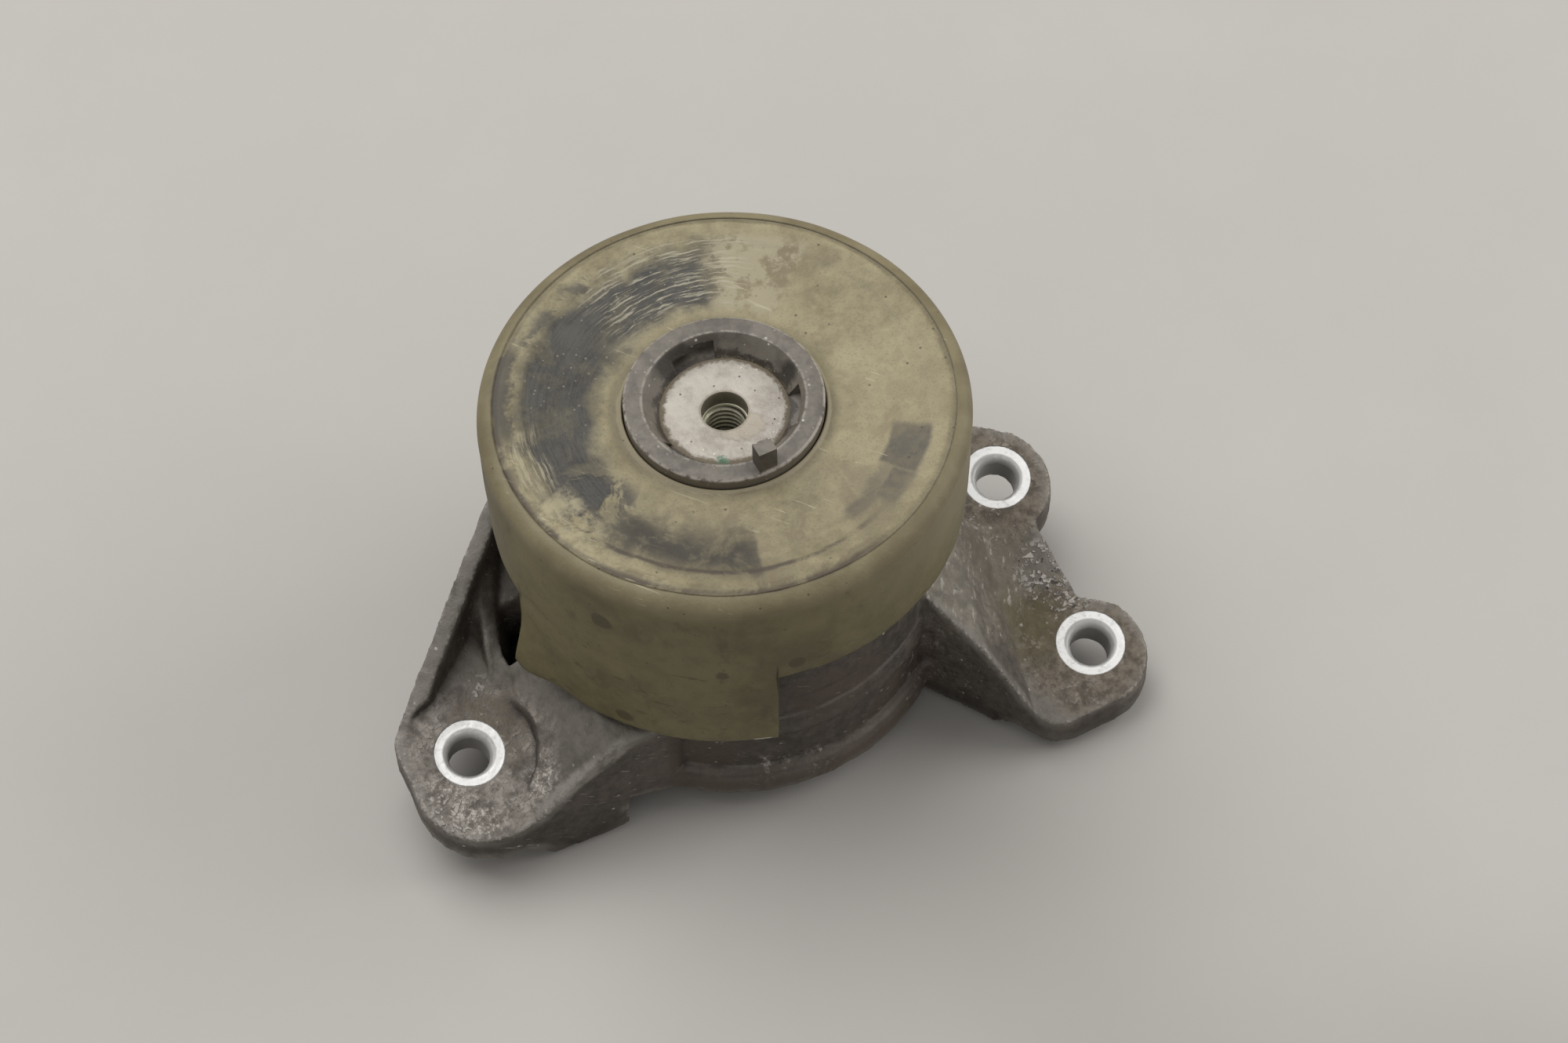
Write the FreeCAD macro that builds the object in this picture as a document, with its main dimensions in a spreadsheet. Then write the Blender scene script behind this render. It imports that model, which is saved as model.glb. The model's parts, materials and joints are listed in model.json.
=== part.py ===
import FreeCAD, Part
import os
import re
import Sketcher

# Hydraulic engine mount: a cast three-eared bracket around a rubber spring and fluid chamber,
# with a moulded heat shield cap over the top.
# Frame: Z is the mount's own axis, z = 0 is the flat bottom it stands on, and the ears lean towards -Y.

SIZES = {
    # threaded core
    "seat_height": 90.0,             # flat seat of the core above the standing face
    "seat_radius": 14.5,
    "core_shoulder_height": 80.0,    # the stop plate lies here
    "core_shoulder_radius": 22.0,
    "core_shoulder_wall": 8.0,
    "core_cone_top": 66.0,
    "core_cone_bottom": 40.0,
    "core_cone_top_radius": 24.0,
    "core_cone_bottom_radius": 13.0,
    "core_tail_radius": 8.0,
    "core_tail_length": 4.5,
    "core_rivet_radius": 6.0,        # spigot that carries the rebound disc
    "counterbore_radius": 5.25,
    "counterbore_depth": 4.4,
    # threaded insert
    "thread_radius": 4.25,
    "insert_radius": 7.0,
    "insert_length": 26.0,
    "insert_chamfer": 1.0,
    # locating ring and its tab
    "ring_radius": 22.4,
    "ring_rise": 5.0,                # above the seat
    "ring_mouth_radius": 18.0,
    "ring_bevel": 0.5,
    "ring_slot_radius": 18.4,
    "ring_slot_angle": 37.0,
    "ring_slot_height": 3.6,
    "tab_width": 4.3,
    "tab_depth": 3.6,
    "tab_rise": 6.5,
    # stop plate and bump buffer
    "stop_plate_wall": 3.0,
    "stop_plate_radius": 46.0,
    "stop_plate_bevel": 0.8,
    "buffer_inner_radius": 39.5,
    "buffer_radius": 45.0,
    "buffer_height": 11.0,
    "buffer_tip_inset": 1.6,
    # heat shield cap
    "cap_radius": 55.0,
    "cap_wall": 2.0,
    "cap_ring_gap": 0.5,
    "cap_collar_wall": 2.2,
    "cap_face_below_ring": 3.5,      # face at the collar, below the ring's top
    "cap_bead_height": 0.5,
    "cap_bead_width": 1.2,
    "cap_dish": 2.2,                 # the face rises this much from collar to rim
    "cap_rim_round": 4.3,
    "cap_lip_radius": 50.3,
    "cap_lip_width": 1.0,
    "cap_lip_height": 0.5,
    "cap_draft": 0.5,
    "skirt_bottom": 62.0,
    "deep_skirt_bottom": 37.0,
    "deep_skirt_start": -171.5,
    "deep_skirt_angle": 66.5,
    # bracket barrel
    "barrel_bottom": 5.5,
    "barrel_top": 60.0,
    "barrel_radius": 46.6,
    "barrel_bore_radius": 42.5,
    "barrel_lip_radius": 38.0,
    "barrel_lip_wall": 4.0,
    "barrel_band_radius": 48.5,
    "barrel_band_height": 9.5,
    "barrel_step": 1.2,
    "barrel_rib_radius": 47.7,
    "barrel_rib_height": 7.0,
    "barrel_rib_bottom": 27.0,
    "barrel_bevel": 1.5,
    # ears, all cut to one leaning plane
    "ear_height": 24.0,              # of that plane on the mount's axis
    "ear_lean": 11.13,
    "ear_wall": 8.5,
    "ear_bore_radius": 4.75,
    "ear_bore_bevel": 0.9,
    "left_bore_reach": 74.6,
    "left_bore_setback": 13.8,
    "right_bore_reach": 67.5,
    "front_bore_setback": 50.0,
    "rear_bore_setback": 4.0,
    "left_ear_radius": 16.2,
    "left_ear_offset": 5.3,
    "left_ear_inset": 0.8,
    "left_corner_radius": 9.0,
    "left_corner_reach": 80.5,
    "left_corner_setback": 7.5,
    "right_ear_radius": 13.6,
    "right_ear_inset": 1.0,          # the right ears are rounded a little inboard of their bores
    "front_ear_offset": 1.0,
    "spot_face_radius": 15.6,
    "spot_face_depth": 40.0,
    # arms
    "arm_bottom": 1.2,
    "arm_top": 56.0,
    "through_length": 300.0,         # cuts that must pass right through
    "cut_margin": 50.0,
    "left_side_angle": 177.3,
    "left_front_angle": -1.5,
    "left_front_length": 42.0,
    "left_rear_angle": 37.5,
    "left_rear_length": 56.0,
    "rear_wall_angle": 144.5,
    "rear_wall_length": 52.0,
    "neck_reach": 70.6,
    "corner_reach": 54.5,
    "corner_setback": 57.2,
    "corner_radius": 7.5,
    "ridge_angle": 122.6,
    "ridge_length": 30.0,
    "rise_turn": 13.0,
    "left_crease": 59.9,
    "left_slope_run": 19.0,
    "left_slope_rise": 17.2,
    "right_crease": 60.4,
    "right_slope_run": 10.5,
    "right_slope_rise": 14.0,
    "shoulder_run": 13.0,
    "left_shoulder_rise": 1.0,
    "right_shoulder_rise": 9.5,
    "left_foot_reach": 61.0,
    "right_foot_reach": 57.0,
    "foot_slope": 9.0,               # the arms' undersides fall to their feet at 45 degrees
    "foot_notch_radius": 57.5,       # under the left arm, beside the barrel
    "foot_notch_height": 12.0,
    "foot_notch_start": 185.0,
    "foot_notch_angle": 60.0,
    # rib along the left arm's rear edge, and the window beside it
    "rib_wall": 4.2,
    "rib_foot_height": 24.4,
    "rib_head_height": 51.0,
    "rib_length": 50.0,
    "rib_root": 12.0,
    "window_gap": 1.5,               # off the barrel
    "window_width": 8.0,
    "window_start": 166.0,
    "window_angle": 14.0,
    # rubber spring and fluid chamber
    "sleeve_wall": 2.0,
    "sleeve_bottom": 26.0,
    "sleeve_flange_radius": 37.0,
    "spring_side_bottom": 31.0,
    "spring_side_top": 53.0,
    "spring_hollow_radius": 34.0,
    "rebound_disc_radius": 19.0,
    "rebound_disc_wall": 2.5,
    "channel_plate_wall": 5.0,
    "channel_radius": 33.0,
    "channel_width": 6.0,
    "channel_depth": 2.5,
    "channel_start_angle": 0.0,
    "channel_end_angle": 300.0,
    "channel_port_radius": 2.5,
    "decoupler_radius": 20.0,
    "decoupler_wall": 2.6,
    "decoupler_gap": 0.2,
    "port_radius": 2.2,
    "port_circle_radius": 12.0,
    "seal_wall": 1.6,
    "seal_height": 2.0,
    "bellows_wall": 1.6,
    "bellows_rim_height": 3.0,
    "bellows_rim_radius": 36.5,
    "bellows_fold_radius": 30.9,
    "bellows_fold_width": 5.6,
    "bellows_fold_bottom": 5.0,
    "bellows_crown_radius": 15.3,
    "bellows_crown_bottom": 12.0,
    "clamp_ring_height": 1.6,
    "cup_wall": 1.8,
    "cup_base_radius": 35.0,
    "cup_mouth_radius": 37.2,
    "snap_ring_height": 2.0,
    "snap_ring_width": 2.6,
    "snap_groove_depth": 1.2,
}

PORTS = 6
RING_SLOTS = 3

words = re.compile("[a-z][a-z_]+")


def bound(text):
    """Writes an expression with each size named by its cell."""
    return words.sub(lambda word: f"Sizes.{word[0]}" if word[0] in SIZES else word[0], text)


def make_sheet(doc):
    sheet = doc.addObject("Spreadsheet::Sheet", "Sizes")
    for row, (alias, value) in enumerate(SIZES.items(), start=1):
        sheet.set(f"A{row}", alias.replace("_", " "))
        sheet.set(f"B{row}", str(value))
        sheet.setAlias(f"B{row}", alias)
    return sheet


def make_body(doc, label):
    body = doc.addObject("PartDesign::Body", label)
    body.Label = label
    return body


def sketch_on(body, name, role, base=("0", "0", "0"), turn=FreeCAD.Rotation()):
    """A sketch on one of the body's origin planes, moved and turned from it."""
    sketch = body.newObject("Sketcher::SketchObject", f"{body.Label}_{name}")
    plane = next(p for p in body.Origin.OriginFeatures if p.Role == role)
    sketch.AttachmentSupport = [(plane, "")]
    sketch.MapMode = "FlatFace"
    sketch.AttachmentOffset = FreeCAD.Placement(FreeCAD.Vector(), turn)
    for axis, text in zip("xyz", base):
        if text != "0":
            sketch.setExpression(f"AttachmentOffset.Base.{axis}", bound(text))
    return sketch


def bind(sketch, constraint, text):
    index = sketch.addConstraint(constraint)
    name = f"size_{index}"
    sketch.renameConstraint(index, name)
    sketch.setExpression(f"Constraints.{name}", bound(text))


def pin(sketch, geometry, point, x, y):
    """Holds a point at x, y from the sketch's origin."""
    where = sketch.getPoint(geometry, point)
    bind(sketch, Sketcher.Constraint("DistanceX", -1, 1, geometry, point, where.x), x)
    bind(sketch, Sketcher.Constraint("DistanceY", -1, 1, geometry, point, where.y), y)


def polygon(sketch, corners):
    """A closed outline through corners whose coordinates are expressions."""
    start = FreeCAD.Vector(10, 0, 0)
    turns = [FreeCAD.Rotation(FreeCAD.Vector(0, 0, 1), 360.0 * n / len(corners)) for n in range(len(corners))]
    points = [turn.multVec(start) + FreeCAD.Vector(20, 20, 0) for turn in turns]
    first = sketch.GeometryCount
    for n, point in enumerate(points):
        sketch.addGeometry(Part.LineSegment(point, points[(n + 1) % len(points)]), False)
    for n in range(len(points)):
        after = first + (n + 1) % len(points)
        sketch.addConstraint(Sketcher.Constraint("Coincident", first + n, 2, after, 1))
    for n, (x, y) in enumerate(corners):
        pin(sketch, first + n, 1, x, y)


def circle(sketch, x, y, radius):
    geometry = sketch.addGeometry(Part.Circle(FreeCAD.Vector(5, 5, 0), FreeCAD.Vector(0, 0, 1), 3), False)
    pin(sketch, geometry, 3, x, y)
    bind(sketch, Sketcher.Constraint("Radius", geometry, 3.0), radius)


def rim_point(x, y, radius, angle):
    """The point of a circle at an angle from +X, as two expressions."""
    return f"{x} + {radius} * cos(({angle}) * 1deg)", f"{y} + {radius} * sin(({angle}) * 1deg)"


def feature(body, kind, name, sketch, **settings):
    made = body.newObject(f"PartDesign::{kind}", f"{body.Label}_{name}")
    made.Profile = (sketch, [""])
    for key, value in settings.items():
        if isinstance(value, str) and key in ("Length", "Angle"):
            made.setExpression(key, bound(value))
        else:
            setattr(made, key, value)
    sketch.Visibility = False
    body.Document.recompute()
    return made


def turned(body, name, corners, kind="Revolution", angle="360", turn=FreeCAD.Rotation()):
    """A ring of the given section (radius, height), turned about the mount's axis."""
    sketch = sketch_on(body, f"{name}_section", "XZ_Plane", turn=turn)
    polygon(sketch, corners)
    return feature(body, kind, name, sketch, ReferenceAxis=(sketch, ["V_Axis"]), Angle=angle)


def turned_body(doc, label, corners):
    body = make_body(doc, label)
    turned(body, "turning", corners)
    return body


def dress(body, kind, name, base, edges, size):
    """A fillet or chamfer on the base feature's edges that pass the test."""
    names = [f"Edge{n}" for n, edge in enumerate(base.Shape.Edges, start=1) if edges(edge)]
    made = body.newObject(f"PartDesign::{kind}", f"{body.Label}_{name}")
    made.Base = (base, names)
    made.setExpression("Radius" if kind == "Fillet" else "Size", bound(size))
    body.Document.recompute()
    return made


def is_circle(edge, radius, height):
    """Tests for a full circle about the mount's axis."""
    curve = edge.Curve
    same = isinstance(curve, Part.Circle) and abs(curve.Radius - radius) < 0.01
    return same and abs(curve.Center.z - height) < 0.01


def patterned(body, name, original, count):
    pattern = body.newObject("PartDesign::PolarPattern", f"{body.Label}_{name}")
    pattern.Originals = [original]
    pattern.Axis = (next(p for p in body.Origin.OriginFeatures if p.Role == "Z_Axis"), [""])
    pattern.Angle = 360
    pattern.Occurrences = count
    body.Tip = pattern
    body.Document.recompute()
    return pattern


# ---- the bracket, in the order a pattern maker would build it up

def ear_frame(swing):
    """The ears' leaning plane, with the sketch standing across the crease of an arm."""
    about_x = FreeCAD.Vector(1, 0, 0)
    lean = FreeCAD.Rotation(about_x, SIZES["ear_lean"])
    turn = FreeCAD.Rotation(FreeCAD.Vector(0, 0, 1), swing)
    return lean * turn * FreeCAD.Rotation(about_x, 90)


def wall_frame(angle):
    """A plane standing upright along a wall that runs at an angle from +X."""
    turn = FreeCAD.Rotation(FreeCAD.Vector(0, 0, 1), angle)
    return turn * FreeCAD.Rotation(FreeCAD.Vector(1, 0, 0), 90)


LEFT_EAR = ("left_ear_inset - left_bore_reach", "-left_bore_setback - left_ear_offset")
LEFT_CORNER = ("-left_corner_reach", "-left_corner_setback")
REAR_EAR = ("right_bore_reach - right_ear_inset", "-rear_bore_setback")
FRONT_EAR = ("right_bore_reach - right_ear_inset", "-front_bore_setback - front_ear_offset")
FRONT_CORNER = ("corner_reach", "-corner_setback")
REAR_FOOT = rim_point(*LEFT_CORNER, "left_corner_radius", "left_rear_angle + 90")


def arm_pad(body, name, corners):
    blank = sketch_on(body, f"{name}_outline", "XY_Plane", ("0", "0", "arm_bottom"))
    polygon(blank, corners)
    feature(body, "Pad", name, blank, Length="arm_top - arm_bottom")


def round_pad(body, name, centre, radius):
    outline = sketch_on(body, f"{name}_outline", "XY_Plane", ("0", "0", "arm_bottom"))
    circle(outline, *centre, radius)
    feature(body, "Pad", name, outline, Length="arm_top - arm_bottom")


def raise_arms(body):
    """Upright blanks of both arms, with round ears, to be cut to their sloping tops."""
    front_foot = rim_point(*LEFT_EAR, "left_ear_radius", "left_front_angle - 90")
    arm_pad(body, "left_arm", [
        REAR_FOOT,
        LEFT_CORNER,
        rim_point(*LEFT_CORNER, "left_corner_radius", "left_side_angle"),
        rim_point(*LEFT_EAR, "left_ear_radius", "left_side_angle"),
        LEFT_EAR,
        front_foot,
        rim_point(*front_foot, "left_front_length", "left_front_angle"),
        ("0", "0"),
        rim_point(*REAR_FOOT, "left_rear_length", "left_rear_angle"),
    ])
    wall_foot = rim_point(*REAR_EAR, "right_ear_radius", "rear_wall_angle - 90")
    ridge_foot = rim_point(*FRONT_CORNER, "corner_radius", "ridge_angle + 90")
    arm_pad(body, "right_arm", [
        rim_point(*wall_foot, "rear_wall_length", "rear_wall_angle"),
        ("0", "0"),
        rim_point(*ridge_foot, "ridge_length", "ridge_angle"),
        ridge_foot,
        FRONT_CORNER,
        (FRONT_CORNER[0], f"{FRONT_CORNER[1]} - corner_radius"),
        (FRONT_EAR[0], f"{FRONT_EAR[1]} - right_ear_radius"),
        FRONT_EAR,
        ("neck_reach", FRONT_EAR[1]),
        ("neck_reach", REAR_EAR[1]),
        REAR_EAR,
        wall_foot,
    ])
    round_pad(body, "left_ear", LEFT_EAR, "left_ear_radius")
    round_pad(body, "left_corner", LEFT_CORNER, "left_corner_radius")
    round_pad(body, "rear_ear", REAR_EAR, "right_ear_radius")
    round_pad(body, "front_ear", FRONT_EAR, "right_ear_radius")
    round_pad(body, "front_corner", FRONT_CORNER, "corner_radius")


def slope_arms(body):
    """Cuts both arms to their sloping tops, which fall from the barrel to the ears' plane."""
    left_knee = "left_slope_run - left_crease"
    right_knee = "right_crease - right_slope_run"
    frame = ear_frame(-SIZES["rise_turn"])
    sketch = sketch_on(body, "slope_profile", "XY_Plane", ("0", "0", "ear_height"), frame)
    polygon(sketch, [
        ("-left_bore_reach - cut_margin", "0"),
        ("-left_crease", "0"),
        (left_knee, "left_slope_rise"),
        (f"{left_knee} + shoulder_run", "left_slope_rise + left_shoulder_rise"),
        (f"{left_knee} + shoulder_run", "arm_top"),
        ("-left_bore_reach - cut_margin", "arm_top"),
    ])
    polygon(sketch, [
        ("right_bore_reach + cut_margin", "0"),
        ("right_crease", "0"),
        (right_knee, "right_slope_rise"),
        (f"{right_knee} - shoulder_run", "right_slope_rise + right_shoulder_rise"),
        (f"{right_knee} - shoulder_run", "arm_top"),
        ("right_bore_reach + cut_margin", "arm_top"),
    ])
    feature(body, "Pocket", "slopes", sketch, Length="through_length", Midplane=True)


def hollow_ears(body):
    """Cuts the arms away beneath the ears, which are plain plates."""
    frame = ear_frame(-SIZES["rise_turn"])
    sketch = sketch_on(body, "underside_profile", "XY_Plane", ("0", "0", "ear_height"), frame)
    polygon(sketch, [
        ("-left_bore_reach - cut_margin", "-ear_wall"),
        ("-left_foot_reach", "-ear_wall"),
        ("foot_slope - left_foot_reach", "-ear_wall - foot_slope"),
        ("foot_slope - left_foot_reach", "-arm_top"),
        ("-left_bore_reach - cut_margin", "-arm_top"),
    ])
    polygon(sketch, [
        ("right_bore_reach + cut_margin", "-ear_wall"),
        ("right_foot_reach", "-ear_wall"),
        ("right_foot_reach - foot_slope", "-ear_wall - foot_slope"),
        ("right_foot_reach - foot_slope", "-arm_top"),
        ("right_bore_reach + cut_margin", "-arm_top"),
    ])
    feature(body, "Pocket", "underside", sketch, Length="through_length", Midplane=True)


def add_rear_rib(body):
    """An upright rib that climbs from the left ear to the barrel along the arm's rear edge."""
    sketch = sketch_on(body, "rib_side", "XY_Plane", (*REAR_FOOT, "0"), wall_frame(SIZES["left_rear_angle"]))
    polygon(sketch, [
        ("0", "rib_root"),
        ("rib_length", "rib_root"),
        ("rib_length", "rib_head_height"),
        ("rib_length - rib_wall", "rib_head_height"),
        ("0", "rib_foot_height"),
    ])
    feature(body, "Pad", "rib", sketch, Length="rib_wall")


def cut_foot_notch(body):
    """A notch in the left arm's foot, where it nears the barrel."""
    start = FreeCAD.Rotation(FreeCAD.Vector(0, 1, 0), SIZES["foot_notch_start"])
    turned(body, "foot_notch", [
        ("barrel_radius - barrel_bevel", "0"),
        ("foot_notch_radius", "0"),
        ("foot_notch_radius", "foot_notch_height"),
        ("barrel_radius - barrel_bevel", "barrel_bottom"),
    ], kind="Groove", angle="foot_notch_angle", turn=start)


def turn_barrel(body):
    inside = "(barrel_bore_radius + barrel_radius) / 2"
    turned(body, "clearing", [
        ("0", "-cut_margin"),
        ("barrel_radius", "-cut_margin"),
        ("barrel_radius", "barrel_bottom"),
        (inside, "barrel_bottom"),
        (inside, "barrel_top + cut_margin"),
        ("0", "barrel_top + cut_margin"),
    ], kind="Groove")
    band_top = "barrel_bottom + barrel_band_height"
    rib_top = "barrel_rib_bottom + barrel_rib_height"
    snap_bottom = "sleeve_bottom - 2 * channel_plate_wall - bellows_rim_height - clamp_ring_height"
    snap_bottom += " - cup_wall - snap_ring_height"
    turned(body, "barrel", [
        ("barrel_bore_radius", "barrel_bottom"),
        ("barrel_band_radius - barrel_bevel", "barrel_bottom"),
        ("barrel_band_radius", "barrel_bottom + barrel_bevel"),
        ("barrel_band_radius", f"{band_top} - barrel_step"),
        ("barrel_radius", band_top),
        ("barrel_radius", "barrel_rib_bottom"),
        ("barrel_rib_radius", "barrel_rib_bottom + barrel_step"),
        ("barrel_rib_radius", f"{rib_top} - barrel_step"),
        ("barrel_radius", rib_top),
        ("barrel_radius", "barrel_top - barrel_bevel"),
        ("barrel_radius - barrel_bevel", "barrel_top"),
        ("barrel_lip_radius", "barrel_top"),
        ("barrel_lip_radius", "barrel_top - barrel_lip_wall"),
        ("barrel_bore_radius", "barrel_top - barrel_lip_wall"),
        ("barrel_bore_radius", f"{snap_bottom} + snap_ring_height"),
        ("barrel_bore_radius + snap_groove_depth", f"{snap_bottom} + snap_ring_height"),
        ("barrel_bore_radius + snap_groove_depth", snap_bottom),
        ("barrel_bore_radius", snap_bottom),
    ])


def cut_window(body):
    """An opening through the left arm between its rib and the barrel."""
    inner = "barrel_rib_radius + window_gap"
    start = FreeCAD.Rotation(FreeCAD.Vector(0, 1, 0), SIZES["window_start"])
    turned(body, "window", [
        (inner, "0"),
        (f"{inner} + window_width", "0"),
        (f"{inner} + window_width", "barrel_top"),
        (inner, "barrel_top"),
    ], kind="Groove", angle="window_angle", turn=start)


def bore_ears(body):
    lean = FreeCAD.Rotation(FreeCAD.Vector(1, 0, 0), SIZES["ear_lean"])
    centres = [
        ("-left_bore_reach", "-left_bore_setback"),
        ("right_bore_reach", "-front_bore_setback"),
        ("right_bore_reach", "-rear_bore_setback"),
    ]
    sketch = sketch_on(body, "spot_face_rims", "XY_Plane", ("0", "0", "ear_height"), lean)
    for reach, setback in centres:
        circle(sketch, reach, f"({setback}) / cos(ear_lean * 1deg)", "spot_face_radius")
    feature(body, "Pocket", "spot_faces", sketch, Length="spot_face_depth", Reversed=True)
    sketch = sketch_on(body, "bore_rims", "XY_Plane", ("0", "0", "ear_height"), lean)
    for reach, setback in centres:
        circle(sketch, reach, f"({setback}) / cos(ear_lean * 1deg)", "ear_bore_radius")
    bores = feature(body, "Pocket", "ear_bores", sketch, Length="through_length", Midplane=True)
    plane = lean.multVec(FreeCAD.Vector(0, 0, 1))

    def mouth(edge):
        curve = edge.Curve
        round_one = isinstance(curve, Part.Circle) and abs(curve.Radius - SIZES["ear_bore_radius"]) < 0.01
        return round_one and abs(curve.Center.dot(plane) - SIZES["ear_height"] * plane.z) < 0.01
    dress(body, "Chamfer", "bore_mouths", bores, mouth, "ear_bore_bevel")


def make_bracket(doc):
    body = make_body(doc, "bracket")
    raise_arms(body)
    slope_arms(body)
    hollow_ears(body)
    add_rear_rib(body)
    cut_foot_notch(body)
    turn_barrel(body)
    cut_window(body)
    bore_ears(body)
    return body


# ---- the core and what it carries

SEAT = "seat_height"
INSERT_TOP = "seat_height - counterbore_depth"
PLATE_TOP = "core_shoulder_height + stop_plate_wall"
RING_TOP = "seat_height + ring_rise"
TAIL_END = "core_cone_bottom - core_tail_length"


def make_core(doc):
    insert_bottom = f"{INSERT_TOP} - insert_length"
    return turned_body(doc, "core", [
        ("counterbore_radius", SEAT),
        ("seat_radius", SEAT),
        ("seat_radius", "core_shoulder_height"),
        ("core_shoulder_radius", "core_shoulder_height"),
        ("core_shoulder_radius", "core_shoulder_height - core_shoulder_wall"),
        ("core_cone_top_radius", "core_cone_top"),
        ("core_cone_bottom_radius", "core_cone_bottom"),
        ("core_tail_radius", "core_cone_bottom"),
        ("core_tail_radius", TAIL_END),
        ("core_rivet_radius", TAIL_END),
        ("core_rivet_radius", f"{TAIL_END} - rebound_disc_wall"),
        ("0", f"{TAIL_END} - rebound_disc_wall"),
        ("0", f"{insert_bottom} - thread_radius"),
        ("thread_radius", insert_bottom),
        ("insert_radius", insert_bottom),
        ("insert_radius", INSERT_TOP),
        ("counterbore_radius", INSERT_TOP),
    ])


def make_thread_insert(doc):
    return turned_body(doc, "thread_insert", [
        ("thread_radius + insert_chamfer", INSERT_TOP),
        ("insert_radius", INSERT_TOP),
        ("insert_radius", f"{INSERT_TOP} - insert_length"),
        ("thread_radius", f"{INSERT_TOP} - insert_length"),
        ("thread_radius", f"{INSERT_TOP} - insert_chamfer"),
    ])


def make_locating_ring(doc):
    body = make_body(doc, "locating_ring")
    turned(body, "turning", [
        ("seat_radius", PLATE_TOP),
        ("ring_radius", PLATE_TOP),
        ("ring_radius", f"{RING_TOP} - ring_bevel"),
        ("ring_radius - ring_bevel", RING_TOP),
        ("ring_mouth_radius", RING_TOP),
        ("seat_radius", SEAT),
    ])
    start = FreeCAD.Rotation(FreeCAD.Vector(0, 1, 0), 90 - SIZES["ring_slot_angle"] / 2)
    slot = turned(body, "slot", [
        ("seat_radius - 1", SEAT),
        ("ring_slot_radius", SEAT),
        ("ring_slot_radius", f"{SEAT} + ring_slot_height"),
        ("seat_radius - 1", f"{SEAT} + ring_slot_height"),
    ], kind="Groove", angle="ring_slot_angle", turn=start)
    patterned(body, "slots", slot, RING_SLOTS)
    outer = "-ring_radius + ring_bevel"
    sketch = sketch_on(body, "tab_outline", "XY_Plane", ("0", "0", f"{RING_TOP} - ring_bevel"))
    polygon(sketch, [
        ("-tab_width / 2", outer),
        ("tab_width / 2", outer),
        ("tab_width / 2", f"{outer} + tab_depth"),
        ("-tab_width / 2", f"{outer} + tab_depth"),
    ])
    feature(body, "Pad", "tab", sketch, Length="tab_rise + ring_bevel")
    return body


def make_stop_plate(doc):
    return turned_body(doc, "stop_plate", [
        ("seat_radius", "core_shoulder_height"),
        ("stop_plate_radius - stop_plate_bevel", "core_shoulder_height"),
        ("stop_plate_radius", "core_shoulder_height + stop_plate_bevel"),
        ("stop_plate_radius", PLATE_TOP),
        ("seat_radius", PLATE_TOP),
    ])


def make_bump_buffer(doc):
    top = "barrel_top + buffer_height"
    return turned_body(doc, "bump_buffer", [
        ("buffer_inner_radius", "barrel_top"),
        ("buffer_radius", "barrel_top"),
        ("buffer_radius - buffer_tip_inset", top),
        ("buffer_inner_radius + buffer_tip_inset", top),
    ])


def make_heat_shield_cap(doc):
    body = make_body(doc, "heat_shield_cap")
    hole = "ring_radius + cap_ring_gap"
    face = f"{RING_TOP} - cap_face_below_ring"
    rim = f"{face} + cap_dish"
    skirt = "cap_radius - cap_draft"
    shell = turned(body, "shell", [
        (hole, PLATE_TOP),
        (f"{hole} + cap_collar_wall", PLATE_TOP),
        (f"{hole} + cap_collar_wall", f"{face} - cap_wall"),
        ("cap_radius - cap_wall", f"{rim} - cap_wall"),
        (f"{skirt} - cap_wall", "skirt_bottom"),
        (skirt, "skirt_bottom"),
        ("cap_radius", rim),
        ("cap_lip_radius", rim),
        ("cap_lip_radius", f"{rim} + cap_lip_height"),
        ("cap_lip_radius - cap_lip_width", f"{rim} + cap_lip_height"),
        ("cap_lip_radius - 2 * cap_lip_width", rim),
        (f"{hole} + 2 * cap_bead_width", face),
        (f"{hole} + cap_bead_width", f"{face} + cap_bead_height"),
        (hole, f"{face} + cap_bead_height"),
    ])
    start = FreeCAD.Rotation(FreeCAD.Vector(0, 1, 0), SIZES["deep_skirt_start"])
    turned(body, "deep_skirt", [
        (f"{skirt} - cap_wall", "deep_skirt_bottom"),
        (skirt, "deep_skirt_bottom"),
        (skirt, "skirt_bottom"),
        (f"{skirt} - cap_wall", "skirt_bottom"),
    ], angle="deep_skirt_angle", turn=start)
    rim_height = SIZES["seat_height"] + SIZES["ring_rise"] - SIZES["cap_face_below_ring"] + SIZES["cap_dish"]
    edge = dress(body, "Fillet", "rim_round", body.Tip,
                 lambda e: is_circle(e, SIZES["cap_radius"], rim_height), "cap_rim_round")
    inner = (SIZES["cap_radius"] - SIZES["cap_wall"], rim_height - SIZES["cap_wall"])
    dress(body, "Fillet", "rim_hollow", edge, lambda e: is_circle(e, *inner), "cap_rim_round - cap_wall")
    return body


# ---- the rubber spring and the fluid chamber under it

PLATE_BOTTOM = "sleeve_bottom - 2 * channel_plate_wall"
BELLOWS_BOTTOM = f"{PLATE_BOTTOM} - bellows_rim_height"
FLANGE_TOP = f"{BELLOWS_BOTTOM} - clamp_ring_height"


def make_main_spring(doc):
    return turned_body(doc, "main_spring", [
        ("core_cone_top_radius", "core_cone_top"),
        ("barrel_bore_radius - sleeve_wall", "spring_side_top"),
        ("barrel_bore_radius - sleeve_wall", "spring_side_bottom"),
        ("spring_hollow_radius", "spring_side_bottom"),
        ("core_cone_bottom_radius", "core_cone_bottom"),
    ])


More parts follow.
